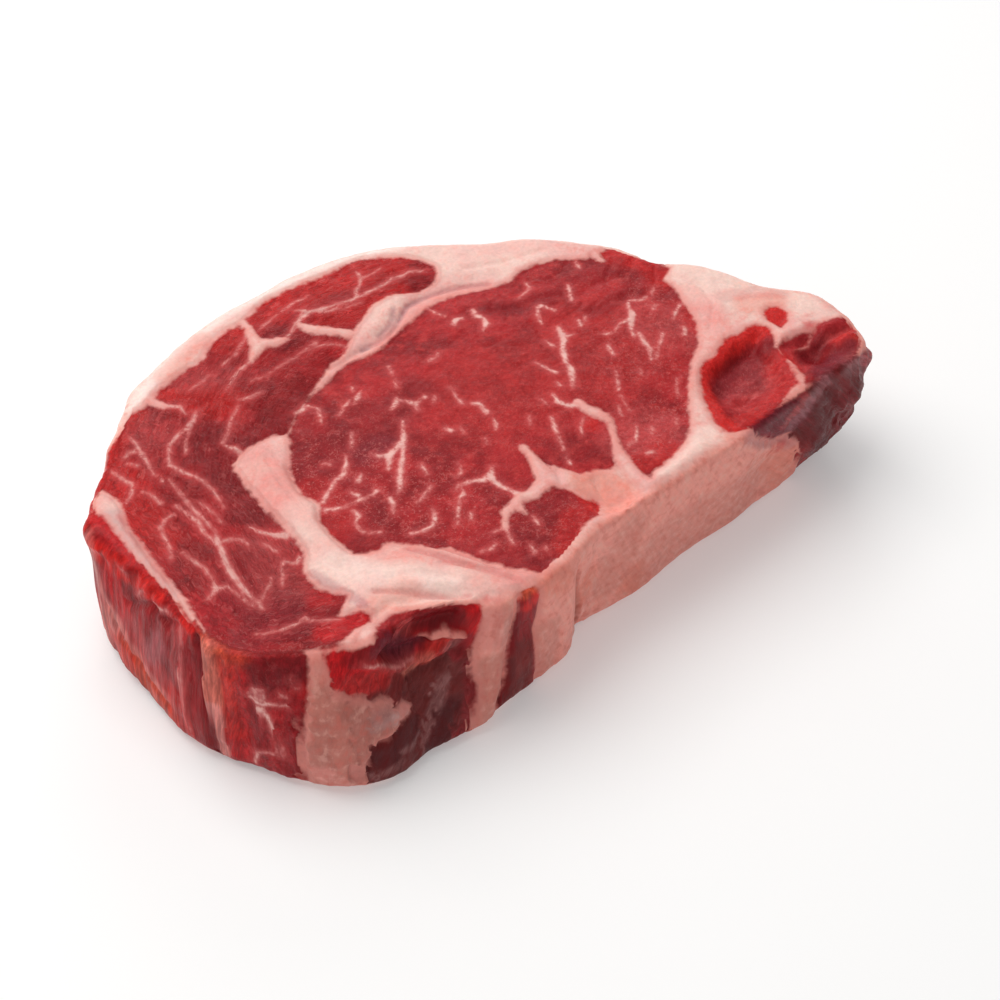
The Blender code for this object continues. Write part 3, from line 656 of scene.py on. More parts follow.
# washes of the side, as those of the cut face
sideLeanWashes = (
    # the grainy muscle
    ("bright", 0.40, 8, 5, (461,24, 462,6)),
    ("wine", 0.45, 3, 5, (461,30, 459,14, 462,4)),
    ("orange", 0.40, 1.2, 3.4, (466,38, 469,34, 469.6,26, 468,14)),
    ("wine", 0.45, 2.4, 3.6, (463,32, 464,18)),
    ("bright", 0.45, 1.6, 3, (456,12, 458,22)),
    ("deep", 0.85, 3.4, 3.2, (455,36, 460,34.6)),
    ("deep", 0.55, 1.6, 2.2, (454,27, 454.6,16, 455,3)),
    ("deep", 0.40, 3, 3, (463,20, 466,14)),
    ("bright", 0.55, 1.8, 2.6, (467,33, 467.6,22, 467,6)),
    # the corner strip; the orange and salmon along its top are partly the meat's own colour, partly
    # painted glow along the edge
    ("orange", 0.80, 1.4, 2.6, (471,39.8, 476,39.8)),
    ("salmon", 0.72, 1.0, 2.4, (474.2,38, 473.4,30, 472.6,22)),
    ("pink", 0.90, 0.8, 1.3, (472.6,20, 471.8,12, 471.4,2)),
    ("deep", 0.85, 0.5, 1.2, (478,37.5, 476.6,33, 475.4,27, 474.6,20, 474,12, 474,2)),
    # the left wall
    ("wine", 0.55, 1.6, 2.0, (478.4,34, 477.8,20, 477.6,6)),
    ("wine", 0.50, 7, 5, (487,26, 500,28, 510,30)),
    ("rose", 0.40, 2.5, 4, (488,14, 497,18, 505,22)),
    ("rose", 0.55, 0.4, 1.6, (480.4,6, 481.2,22, 484,35)),
    ("rose", 0.45, 0.3, 1.2, (483.6,18, 484.6,27, 486.4,33)),
    ("pink", 0.45, 0.6, 2.4, (486,10, 493,11.4, 501,13.4, 508,17, 515,21, 519,28)),
    ("mauve", 0.30, 1.5, 3.5, (491,25, 494,20)),
    ("scarlet", 0.90, 1.8, 2.4, (482,39.6, 492,38.4, 502,36.6, 512,35, 521,34)),
    ("bright", 0.55, 2, 3, (508,25, 512,31)),
    ("deep", 0.55, 1.2, 1.6, (487,37.6, 490,37.6)),
    ("deep", 0.55, 1.2, 1.6, (503.4,38, 505,36.6)),
    ("orange", 0.55, 3, 2.6, (488,5, 498,7.4, 508,10)),
    ("scarlet", 0.55, 2, 2.5, (505,8.4, 513,10.6)),
    ("scarlet", 0.50, 2, 3, (483.6,5, 484.6,13)),
    ("pink", 0.55, 2.5, 3, (512,17, 517.4,14, 519,5)),
    ("pink", 0.40, 1.2, 2, (519.6,36, 520,27)),
    # the dark meat and the ledge over it
    ("brown", 0.95, 8, 4, (420,18, 424,10, 430,3)),
    ("brown", 0.90, 4.5, 3, (427,20, 432,14, 437,5)),
    ("umber", 0.80, 1.8, 2.4, (418,13, 421.4,6, 424,1)),
    ("umber", 0.75, 2.0, 2.2, (431,12.4, 436.4,9)),
    ("smoke", 0.55, 0.4, 1.3, (416.4,27, 419,20, 422.6,11, 427.4,3)),
    ("smoke", 0.45, 0.3, 1.1, (418.4,26, 421.4,18, 425.6,9, 430,3)),
    ("smoke", 0.50, 0.3, 1.0, (430,10.2, 434,7.2, 438.6,3.4)),
    ("smoke", 0.30, 0.5, 1.4, (423.4,24.6, 426,23, 429.4,24)),
    ("wine", 0.65, 1.4, 1.8, (412.6,22, 412.6,14, 414.4,4)),
    ("brown", 0.85, 3, 2.6, (420,26, 430,25, 436,27)),
    ("deep", 0.85, 2.4, 2.0, (416,36.6, 423,37.4)),
    ("purple", 0.95, 2.0, 1.8, (429.6,32, 433,35.6, 434.4,38)),
    ("purple", 0.90, 1.3, 1.4, (424,30.6, 429,31, 432.4,32)),
    ("rose", 0.55, 1.2, 1.4, (426.6,38.6, 427.4,35)),
    ("bright", 0.75, 1.2, 1.6, (411,38.6, 411,34, 412.6,30.6)),
    ("wine", 0.80, 1.0, 1.4, (413,29.4, 415.4,26)),
    ("orange", 0.45, 0.8, 1.6, (418.6,30.2, 422,28.8)),
    ("bright", 0.70, 1.4, 1.6, (419,29.6, 424,27.6)),
    ("salmon", 0.45, 0.7, 1.6, (422,27.4, 429,26.6)),
    ("bright", 0.75, 2.6, 2.2, (437,30.6, 442,32, 444.6,36)),
    ("warm", 0.70, 1.6, 2.0, (434.6,29, 439,29.4, 443,30)),
    ("deep", 0.60, 1.2, 1.6, (437,37.4, 441,36.6)),
    ("smoke", 0.50, 0.8, 1.2, (415.6,29.6, 418,28.6)),
    # the dark stripe
    ("wine", 0.80, 3, 1.8, (397.5,30, 397.8,22)),
    ("brown", 0.85, 3.2, 2, (399,18, 398.6,8, 398,0)),
    ("umber", 0.60, 1.0, 1.4, (402.4,17, 403.4,9, 404.6,3)),
    ("deep", 0.70, 1.0, 1.4, (400,34, 401,27, 402,21)),
    ("orange", 0.85, 1.2, 1.6, (396.4,38.8, 398.6,38.4)),
    ("scarlet", 0.70, 1.0, 1.6, (396.4,35.6, 397.6,33.4)),
    # the end of the tail
    ("brown", 0.95, 9, 5, (262,4, 276,12, 284,22, 291,30)),
    ("deep", 0.70, 6, 5, (268,8, 284,16, 290,30)),
    ("umber", 0.55, 2, 4, (284,8, 287,18, 291,30)),
    ("deep", 0.60, 1.6, 3, (278,14, 281,26)),
    ("purple", 0.90, 4, 4, (302,29, 308,36, 316,40)),
    ("rose", 0.55, 1.0, 2.2, (300,36, 304,31)),
    ("scarlet", 0.50, 4, 5, (257,28, 266,33)),
    ("rose", 0.45, 0.8, 2.4, (255,20, 259,29, 266,36)),
    ("wine", 0.75, 3, 4, (253,24, 254,10)),
    ("mauve", 0.35, 1.0, 4, (264,18, 270,24, 276,34, 282,38)),
    ("mauve", 0.40, 1.0, 3.2, (292,38, 297,34, 301,26)),
    # round the back
    ("deep", 0.5, 5, 7, (533,24, 547,14)),
    ("wine", 0.5, 4, 5, (540,30, 548,34)),
    ("scarlet", 0.6, 2, 4, (526,38, 550,38)),
    ("rose", 0.4, 1.5, 4, (527,20, 531,8, 538,3)),
    ("rose", 0.4, 0.8, 2.4, (541,26, 543.6,12, 543,3)),
    ("deep", 0.5, 1.2, 2.5, (148,2, 148.4,20)),
    ("rose", 0.45, 1.0, 3.0, (554,3, 549.6,10, 546.6,18, 541.6,27)),
    ("scarlet", 0.5, 1.2, 2.5, (206.6,24, 206.6,38)),
)

sideFatWashes = (
    # painted shade: the tan and shade washes darken the fat patch low on the corner, where less
    # light falls
    ("tan", 0.90, 9, 4, (444,22, 446,12, 446,4)),
    ("shade", 0.45, 1.6, 2.6, (441,24.6, 438,17, 441,7)),
    ("shade", 0.35, 1.4, 2.2, (446,25, 449.6,18, 448,12)),
    ("smoke", 0.60, 1.4, 2.0, (436.4,20.6, 433,18)),
    ("grey", 0.50, 1.2, 1.6, (434.6,18.6)),
    ("tan", 0.55, 1.2, 2.0, (449.4,37, 449,31)),
    ("pink", 0.55, 1.4, 2.6, (446,3, 449.4,8)),
    ("tan", 0.45, 1.5, 2.4, (405,36, 405.4,28)),
    ("pink", 0.50, 2.0, 2.4, (407.4,36, 408,28)),
    ("tan", 0.70, 3.0, 2.5, (407.4,20, 408.4,10, 409.6,2)),
    ("smoke", 0.30, 0.8, 1.4, (403,33, 404.4,25)),
    ("salmon", 0.8, 2.5, 3, (355,5, 356,12)),
    ("salmon", 0.8, 2.5, 3, (373,20, 375,14)),
    ("tan", 0.8, 1.0, 1.6, (379,26, 376.5,16, 374,6)),
    ("salmon", 0.7, 3, 5, (298,8, 303,20)),
    ("salmon", 0.7, 2.4, 3, (387,34, 391.6,38)),
    ("tan", 0.5, 2.5, 3, (390.6,20, 390,6)),
    ("tan", 0.4, 7, 8, (318,12, 346,14)),
    ("tan", 0.4, 3, 4, (360,30, 364,14)),
    ("mauve", 0.6, 1.6, 2.5, (299,20, 303,25, 311,29, 320,37)),
    ("scarlet", 0.5, 0.8, 2.2, (302.6,20, 305,22)),
    ("cream", 0.55, 20, 12, (44,24, 120,22, 200,22, 232,20)),
    ("salmon", 0.45, 3, 8, (34,6, 44,16)),
    ("salmon", 0.5, 3, 8, (158,14, 172,26)),
    ("salmon", 0.5, 3, 8, (214,8, 228,16)),
    ("pink", 0.6, 3, 8, (112,32, 96,24, 94,8)),
    ("rose", 0.40, 1.2, 5, (126,36, 124,22, 128,6)),
    ("rose", 0.35, 1.0, 4, (186,34, 189,20, 185,4)),
    ("mauve", 0.35, 2, 6, (58,8, 66,24, 64,34)),
    ("mauve", 0.35, 2, 6, (176,8, 192,12)),
    ("mauve", 0.40, 2, 6, (234,8, 242,24)),
    ("white", 0.5, 1.5, 6, (40,40, 100,40, 180,40, 230,40)),
)

# how richly the lean is marbled with fine flecks: strength, half width, feather, points
faceMarbled = (
    (0.85, 9, 10, (-42,-6, -34,-16, -26,-28)),
    (0.60, 6, 8, (-22,-34, -8,-46, -2,-50)),
    (0.70, 3, 5, (60,14, 60,2, 54,-8)),
    (0.55, 5, 6, (44,2, 40,-8, 48,-14)),
    (0.75, 4, 5, (26,-34, 36,-33, 43,-27)),
    (0.45, 5, 8, (-36,12, -22,10)),
    (0.35, 5, 8, (-14,-12, 10,-16, 30,-16)),
    (0.30, 4, 6, (36,30, 50,24, 58,18)),
    (0.55, 14, 6, (-6,54, -30,50, -60,30, -76,12, -78,-10, -76,-40)),
    (0.45, 6, 5, (58,-32, 68,-28)),
)
sideMarbled = (
    (0.22, 6, 3, (461,30, 462,6)),
    (0.30, 10, 6, (492,24, 508,22)),
    (0.20, 4, 4, (256,30, 266,32)),
    (0.50, 10, 8, (530,20, 546,20)),
)

# how strongly the side's streaks are drawn out along the fibres, as s against a factor
sideStretch = ((0, 0.10), (446, 0.10), (454, 0.50), (467, 0.50), (474, 0.09), (524, 0.10))

# how far the streaks of the side lean over, as s against the shift for each mm of height
sideSlant = ((0, 0.0), (240, 0.0), (258, 0.8), (300, 0.9), (330, 0.6), (390, 0.3),
             (402, 0.0), (412, -0.3), (418, -0.55), (436, -0.7), (446, -0.3), (452, 0.0),
             (524, 0.0))

# the side is drawn along the top edge, which is a little longer than the row at some places
sideShift = ((0, 0.0), (200, 0.1), (260, 0.5), (340, 0.9), (400, 1.4), (426, 1.6), (437, 0.8),
             (470, 0.5), (490, 0.1), (522.2, 0.0))

# ridges and grooves of the side: height, half width, points
sideRidges = (
    (-1.6, 1.6, (379,31, 377,20, 374.5,10, 372,3)), (0.9, 3.5, (384,34, 383,18, 382,6)),
    (-0.9, 1.0, (393.6,36, 394,22, 392.4,8, 391.4,3)),
    (-1.2, 1.1, (400.8,37, 401.6,29, 403.8,19, 404.4,12, 406,4)),
    (0.9, 2.6, (405.4,36, 407,24, 408,12, 409,4)),
    (-0.8, 1.0, (411.6,26, 412,18, 411.6,10, 413.6,3)), (0.8, 1.2, (411,37, 411.4,32, 413,29)),
    (-2.6, 2.6, (417,36.4, 423,36.2, 429,34.6, 432.6,33.6)),
    (-1.5, 1.2, (423,31, 428,30.6, 432,31.6)), (1.5, 1.1, (414,31, 417,32.2, 419,33, 421.6,32.4)),
    (1.3, 1.1, (426,27.6, 431,28.4, 434,30.8, 436.4,33.4, 439.4,35.2)),
    (0.9, 1.6, (419,29.4, 424,27.8)), (-0.9, 1.0, (417,27, 422,25.4, 428,24.4)),
    (1.0, 3.0, (441,34, 444,33)), (0.9, 4.0, (445,22, 446,11)),
    (-0.8, 0.8, (450.8,36, 451.4,28, 452.8,20, 453.4,10, 453,4)),
    (-0.8, 0.8, (440.4,5, 440,9.6, 438,12.6, 434.4,15.4, 431.6,17)),
    (-0.6, 0.8, (432,19.4, 436.6,24.2, 440,27, 444,29.4)),
    (0.8, 1.8, (473.4,37, 472.8,26, 471.8,10)),
    (-1.2, 0.8, (478,37.5, 476.6,33, 475.4,27, 474.6,20, 474,12, 474,3)),
    (-0.5, 0.8, (479.6,32, 479.2,18, 479,5)), (0.5, 0.9, (481.6,34, 480.8,18, 480.4,5)),
    (-0.6, 1.0, (487,8, 495,9.4, 503,11.6, 509,15.6, 514,19)),
    (-0.7, 1.0, (485,35.8, 490,33.2, 496,33.6, 500,30.6, 505,27.2)),
    (0.8, 1.0, (491.6,37, 493.6,36.4)), (0.8, 1.0, (497.4,37.4, 499,36.8)),
    (0.9, 1.1, (505.6,37.4, 507.8,36.6)), (0.7, 1.2, (513,36.4, 516,36)),
    (-0.9, 1.5, (300,22, 308,26, 318,34)), (-0.7, 1.2, (258,20, 263,26, 268,31)),
    (0.8, 2.2, (262,22, 269,29, 274,35)), (-0.8, 1.4, (275,12, 284,22, 291,34)),
    (-0.8, 1.6, (62,36, 64,22, 61,6)), (-0.9, 1.8, (132,37, 129,20, 133,5)),
    (-0.8, 1.6, (186,36, 189,22, 184,6)), (-0.8, 1.6, (232,36, 230,20, 234,5)),
    (0.8, 5.0, (108,26, 118,14)), (0.8, 5.0, (170,26, 176,12)),
)

# rounded lumps pushed out of the surface: place, radius and height, all in mm
lumps = (
    ((-59.5,-59,38.5), 3.2, 2.2),     # fat nodule on the rim
    ((-55.5,-59.5,37.5), 2.4, 1.2),
    ((-98,5,36.5), 4.0, 1.4),         # red end of the rim
    ((-96.5,-5,37), 3.0, 0.8),
    ((99.6,-20,31), 4.6, 3.0),        # folds and dents of the tail's end
    ((98.6,-28,31), 3.6, 2.6),
    ((96,-33,24), 4.4, 2.0),
    ((98.5,-27,13), 5.5, 2.2),
    ((90,-37,25), 3.4, 1.5),
    ((84,-38.6,27), 3.0, -1.2),
    ((84,-38,12), 6.0, 1.6),
    ((-66,-56,37.5), 3.5, 0.8),       # the rim beside the nodule
)

steak = {
    "thickness": 40.0,        # mm
    "rimRow": 37.0149,        # height in mm of the row of the solid that the side is measured along
    "rimMatch": 0.004,        # mm that a point of that row may lie off its height
    "rimLength": 522.2,       # mm all the way round that row
    "rimStart": (-98, 6.5),   # where s is 0, at the left end
    "weld": 0.02,             # mm within which points of the solid are merged
    "voxel": 0.74,            # mm between points of the skin
    "smoothing": 7,           # rounds that even out the remeshed skin
    "undersideTo": 0.35,      # mm up from the floor that count as the underside
    "undersideKeep": 0.12,    # share of the underside's faces that stays
    "faceFrom": 20.0,         # mm up from the floor from where the cut face is sculpted
    "fatStep": 0.45,          # mm that the fat stands over the lean
    "leanLumps": 0.16,        # heights in mm of the random lumps and of the grain
    "leanGrain": 0.10,
    "fatLumps": 0.28,
    "rippleDepth": 0.30,      # of the eye muscle's ripples near the seam
    "veinRise": 0.12,
    "sideFatStep": 0.5,
    "sideGrooves": 0.42,
    "sideLumps": 0.45,
    "leftBumps": 0.5,         # along the top of the left wall
    "veinWidth": 0.9,         # share of the drawn width that the marbling keeps
    "tailHollow": 2.3,
    "endHollow": (83.5, -27.0, 2.4, 11.0),    # dip in the tail's end: X, Y, depth, spread
}


# the skin of the steak
def makeSkin():
    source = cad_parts["ribeye_steak"]
    makeActive(source)
    bpy.ops.object.duplicate()
    skin = bpy.context.object
    skin.name = "rawRibeye"
    skin.parent = None
    for key in list(skin.keys()):
        del skin[key]
    skin.data.materials.clear()
    bpy.ops.object.mode_set(mode="EDIT")
    bpy.ops.mesh.select_all(action="SELECT")
    bpy.ops.mesh.remove_doubles(threshold=steak["weld"] * mm)
    bpy.ops.object.mode_set(mode="OBJECT")
    # the row faces outwards; a point of the hollow in the face can have the same height
    rim = [tuple(point[:2]) for point, normal in zip(readPoints(skin), readNormals(skin))
           if abs(point[2] - steak["rimRow"]) < steak["rimMatch"] and normal[2] < 0.6]
    addModifier(skin, "REMESH", mode="VOXEL", voxel_size=steak["voxel"] * mm,
                use_smooth_shade=True)
    addModifier(skin, "SMOOTH", factor=0.5, iterations=steak["smoothing"])
    return skin, rim


# the rim as a closed line, clockwise from the left end
def orderRim(rim):
    rim = np.unique(np.round(np.array(rim), 3), axis=0)
    middle = np.array([-3.0, 2.0])
    turn = -np.arctan2(rim[:, 1] - middle[1], rim[:, 0] - middle[0])
    rim = rim[np.argsort(turn)]
    startX, startY = steak["rimStart"]
    start = int(np.argmin(np.hypot(rim[:, 0] - startX, rim[:, 1] - startY)))
    return np.roll(rim, -start, 0)


def sidePlace(plan, rim):
    distance, along = pathDistance(plan, rim, closed=True, reach=90)
    steps = np.hypot(*(np.roll(rim, -1, 0) - rim).T)
    lengths = np.concatenate([[0], np.cumsum(steps)])
    lengths *= steak["rimLength"] / lengths[-1]
    places = along * len(rim)
    index = np.minimum(places.astype(int), len(rim) - 1)
    s = lengths[index] + (places - index) * (lengths[index + 1] - lengths[index])
    s += np.interp(s, *zip(*sideShift))
    forward = (np.roll(rim, -1, 0) - np.roll(rim, 1, 0))[index]
    forward /= np.hypot(forward[:, 0], forward[:, 1])[:, None]
    inside = np.where(insideOutline(plan, rim), distance, -distance)
    return s, inside, forward


# s goes on past one turn for the places before the given one
def unwrapped(s, low):
    return np.where(s < low, s + steak["rimLength"], s)


skin, rim = makeSkin()
rim = orderRim(rim)
points = readPoints(skin)
print("skin has", len(points), "points, rim has", len(rim))

plan = points[:, :2]
height = points[:, 2]
s, inside, forward = sidePlace(plan, rim)
outwards = np.column_stack([-forward[:, 1], forward[:, 0]])
normals = readNormals(skin)

# 1 on the side, 0 on the cut faces; the side swells out under the rim
swell = (37 - height) * 0.35
sideShare = np.maximum(smoothStep(-inside, -1.5, -0.5),
                       smoothStep(-height, -38.4, -37.2)
                       * smoothStep(-inside, -4.5 - swell, -3.5 - swell))
sideShare *= smoothStep(height, 0.2, 1.6)

# the wall is read both as s and as s + one turn, so that nothing breaks at the start
wall = np.column_stack([s, height])
wallOn = np.column_stack([s + steak["rimLength"], height])


def onWall(makeField, *args):
    return np.maximum(makeField(wall, *args), makeField(wallOn, *args))


def blended(face, side):
    share = sideShare if face.ndim == 1 else sideShare[:, None]
    return face * (1 - share) + side * share


depths = {name: depthInside(plan, outline) for name, outline in muscles.items()}
faceLean = np.maximum.reduce(list(depths.values()))
faceFat = np.maximum(-faceLean, strokeField(plan, faceFatStrokes))
faceVein = strokeField(plan, faceVeins, steak["veinWidth"])

sideMeat = np.maximum.reduce([onWall(depthInside, outline) for outline in sideLean])
sidePatch = np.maximum.reduce([onWall(depthInside, outline) for outline in sideFat]
                              + [onWall(strokeField, sideFatStrokes)])
sideFatField = np.maximum(-sideMeat, sidePatch)

fat = blended(faceFat, sideFatField)
vein = blended(faceVein, onWall(strokeField, sideVeins, steak["veinWidth"]))
marbled = blended(spotField(plan, faceMarbled), onWall(spotField, sideMarbled))
leanPaint = blended(washField(plan, faceLeanWashes), onWall(washField, sideLeanWashes))
fatPaint = blended(washField(plan, faceFatWashes), onWall(washField, sideFatWashes))
print("muscles, fat and marbling are laid out")

# grain: across the fibres in the first two numbers, along them in the third
slant = np.interp(s, *zip(*sideSlant)) * smoothStep(sideShare, 0.0, 0.6)
stretch = np.interp(s, *zip(*sideStretch))
below = steak["thickness"] - height
grain = np.column_stack([plan + forward * (slant * below)[:, None], -below * stretch])
inCap = (depths["cap"] > -1.2) & (sideShare < 0.5) & (depths["cap"] > depths["eye"])
flowing = np.column_stack([unwrapped(s, 170.0) * 0.62, inside, -below * 0.10])
grain = np.where(inCap[:, None], flowing, grain)


# the sculpting of the skin
def sculpt():
    moved = points.copy()
    onFace = (1 - sideShare) * (height > steak["faceFrom"])
    lean = smoothStep(-fat, -0.4, 1.0)
    flat = np.column_stack([plan, np.zeros(len(plan))])

    # the cut face: steps between fat and lean, grooves, lumps and the grain of the meat
    rise = steak["fatStep"] * smoothStep(faceFat, -0.8, 1.6)
    rise += ridgeField(plan, faceRidges)
    rise += steak["veinRise"] * smoothStep(faceVein, -0.4, 0.5)
    rise += lean * steak["leanLumps"] * (lumpNoise(flat, 7.0, 3) + 0.8 * lumpNoise(flat, 3.2, 5))
    rise += lean * steak["leanGrain"] * (lumpNoise(grain, (1.9, 1.9, 1.0), 7)
                                        + 0.7 * lumpNoise(grain, (1.1, 1.1, 1.0), 11))
    rise += (1 - lean) * steak["fatLumps"] * (lumpNoise(flat, 9.0, 13)
                                             + 0.5 * lumpNoise(flat, 4.0, 17)
                                             + 0.2 * lumpNoise(flat, 1.8, 19))
    # ripples of the eye muscle near the seam
    turned = np.column_stack([plan @ (0.91, 0.42), plan @ (-0.42, 0.91) / 0.36,
                              np.zeros(len(plan))])
    ripple = smoothStep(1 - np.abs(lumpNoise(turned, 9.0, 23)) * 2.2, 0.35, 1.0)
    rise -= steak["rippleDepth"] * lean * ripple * smoothStep(plan[:, 1], -4, 18)

    # the hollow of the tail, steep along its far edge
    tail = depths["tail"]
    share = smoothStep(plan[:, 1], -42, -20)
    rise -= steak["tailHollow"] * smoothStep(tail, 1.2, 5.6) * (0.15 + 0.85 * share)
    folded = smoothStep(tail, 1.0, 4.0) + smoothStep(depths["tailEnd"], 0.4, 2.0)
    rise += folded * (0.45 * lumpNoise(flat, (5.0, 3.6, 1.0), 43) + 0.28 * lumpNoise(flat, 2.4, 47))
    dipX, dipY, dip, spread = steak["endHollow"]
    rise -= dip * np.exp(-((plan[:, 0] - dipX) ** 2 + (plan[:, 1] - dipY) ** 2) / spread)
    moved[:, 2] += rise * onFace

    # the side: grooves along the fibres, proud fat, creases
    out = steak["sideFatStep"] * smoothStep(sideFatField, -0.6, 1.2)
    out += ridgeField(wall, sideRidges) + ridgeField(wallOn, sideRidges)
    fibres = np.column_stack([grain[:, :2], height * 0.07])
    sideGrain = (lumpNoise(fibres, (2.6, 2.6, 1.0), 29)
                 + 0.7 * lumpNoise(fibres, (1.3, 1.3, 1.0), 31))
    sideLumps = (lumpNoise(points, (9.0, 9.0, 12.0), 37)
                 + 0.5 * lumpNoise(points, (4.0, 4.0, 6.0), 41))
    leanSide = smoothStep(-sideFatField, -0.4, 1.0)
    out += steak["sideGrooves"] * sideGrain * (0.25 + 0.75 * leanSide)
    out += steak["sideLumps"] * sideLumps
    bumpy = smoothStep(height, 28, 34) * smoothStep(s, 480, 486)
    out += steak["leftBumps"] * bumpy * lumpNoise(points, (3.4, 3.4, 3.0), 53)
    footFree = smoothStep(height, 0.0, 3.0)
    moved[:, :2] += outwards * (out * sideShare * footFree)[:, None]

    for place, radius, size in lumps:
        reach = np.linalg.norm(points - np.array(place), axis=1) / radius
        moved += normals * (size * np.exp(-reach ** 2))[:, None] * (reach < 2.6)[:, None]
    moved[:, 2] = np.maximum(moved[:, 2], 0.0)
    return moved


writePoints(skin, sculpt())
fields = {
    "fat": fat, "vein": vein, "marbled": marbled, "side": sideShare, "grain": grain,
    "leanPaint": leanPaint[:, :3], "leanCover": leanPaint[:, 3],
    "fatPaint": fatPaint[:, :3], "fatCover": fatPaint[:, 3],
    "cap": smoothStep(np.where(inCap, depths["cap"], -4), -0.5, 0.5),
}
for name, values in fields.items():
    writeField(skin, name, values)
print("the skin is sculpted")

# the flat underside needs far fewer faces
makeActive(skin)
isUnder = height < steak["undersideTo"]
under = skin.vertex_groups.new(name="underside")
under.add([int(i) for i in np.flatnonzero(isUnder)], 1.0, "REPLACE")
addModifier(skin, "DECIMATE", decimate_type="COLLAPSE",
            ratio=1 - (1 - steak["undersideKeep"]) * float(isUnder.mean()),
            vertex_group="underside", vertex_group_factor=10.0)
addModifier(skin, "TRIANGULATE")
skin.vertex_groups.clear()
print("skin has", len(skin.data.polygons), "triangles")


# the material
class Sheet:
    # a node tree with short calls for the nodes that the meat needs
    def __init__(self, tree):
        self.tree = tree

    def put(self, socket, value):
        if isinstance(value, bpy.types.NodeSocket):
            self.tree.links.new(value, socket)
        else:
            socket.default_value = value

    def field(self, name, vector=False):
        node = self.tree.nodes.new("ShaderNodeAttribute")
        node.attribute_name = name
        return node.outputs["Vector" if vector else "Fac"]

    def calc(self, operation, *values):
        node = self.tree.nodes.new("ShaderNodeMath")
        node.operation = operation
        for socket, value in zip(node.inputs, values):
            self.put(socket, value)
        return node.outputs[0]

    def times(self, first, second):
        return self.calc("MULTIPLY", first, second)

    def plus(self, first, second):
        return self.calc("ADD", first, second)

    def minus(self, first, second):
        return self.calc("SUBTRACT", first, second)

    def scaled(self, vector, factors):
        node = self.tree.nodes.new("ShaderNodeVectorMath")
        node.operation = "MULTIPLY"
        self.put(node.inputs[0], vector)
        self.put(node.inputs[1], factors)
        return node.outputs[0]

    def noise(self, vector, scale, detail=2.0, rough=0.5, distortion=0.0):
        node = self.tree.nodes.new("ShaderNodeTexNoise")
        self.put(node.inputs["Vector"], vector)
        node.inputs["Scale"].default_value = scale
        node.inputs["Detail"].default_value = detail
        node.inputs["Roughness"].default_value = rough
        node.inputs["Distortion"].default_value = distortion
        return node.outputs["Fac"]

    # a grey colour out of one number
    def grey(self, value):
        node = self.tree.nodes.new("ShaderNodeCombineColor")
        for socket in node.inputs:
            self.put(socket, value)
        return node.outputs[0]

    # a colour under a wash that is already weighted by its cover
    def washed(self, under, paint, cover, share):
        left = self.mix(cover, under, (0.0, 0.0, 0.0, 1.0))
        over = self.mix(share, (0.0, 0.0, 0.0, 1.0), paint)
        return self.mix(1.0, left, over, "ADD")

    def ramp(self, value, low, high, first=0.0, last=1.0, kind="SMOOTHSTEP"):
        node = self.tree.nodes.new("ShaderNodeMapRange")
        node.interpolation_type = kind
        for socket, number in zip(node.inputs, (value, low, high, first, last)):
            self.put(socket, number)
        return node.outputs[0]

    def mix(self, share, first, second, blend="MIX"):
        node = self.tree.nodes.new("ShaderNodeMix")
        node.data_type = "RGBA"
        node.blend_type = blend
        node.clamp_factor = True
        self.put(node.inputs[0], share)
        self.put(node.inputs[6], first)
        self.put(node.inputs[7], second)
        return node.outputs[2]


beef = {
    "sideDepth": (0.99, 0.56, 0.56, 1.0),    # the side's lean is this share of its paint
    "capDepth": (0.91, 0.74, 0.76, 1.0),     # and so is the cap's
    "leanDeep": linear(136, 22, 27),
    "leanMain": linear(172, 36, 40),
    "leanLight": linear(194, 62, 60),
    "leanLine": linear(204, 88, 86),
    "veinHalo": linear(198, 78, 78),
    "veinEdge": linear(212, 124, 120),
    "veinCore": linear(233, 184, 175),
    "fatCream": linear(234, 191, 181),
    "fatPink": linear(231, 172, 165),
    "fatRose": linear(220, 136, 127),
    "sideFat": linear(244, 158, 144),
    "sideRose": linear(208, 104, 92),
    "sidePale": linear(240, 182, 168),
    "fatWander": 1.9,                 # mm that the borders of the fat wander, and of the veins
    "veinWander": 1.3,
    "halo": 0.40,                     # strength of the pale edge along a vein
    "curls": 0.54,                    # strengths of the fine marbling
    "specks": 0.52,
    "streaks": 0.26,
    "leanGloss": (0.40, 0.56),        # roughness, from the wettest patches to the driest
    "fatGloss": (0.44, 0.60),
    "coat": (0.14, 0.02),
    "shader": {
        "Coat Roughness": 0.18, "Coat IOR": 1.36, "IOR": 1.40, "Specular IOR Level": 0.16,
        "Subsurface Weight": 0.14, "Subsurface Radius": (1.0, 0.35, 0.25),
        "Subsurface Scale": 0.0018,
    },
    "relief": {"Strength": 0.6, "Distance": 0.00050},
}
white = (1.0, 1.0, 1.0, 1.0)


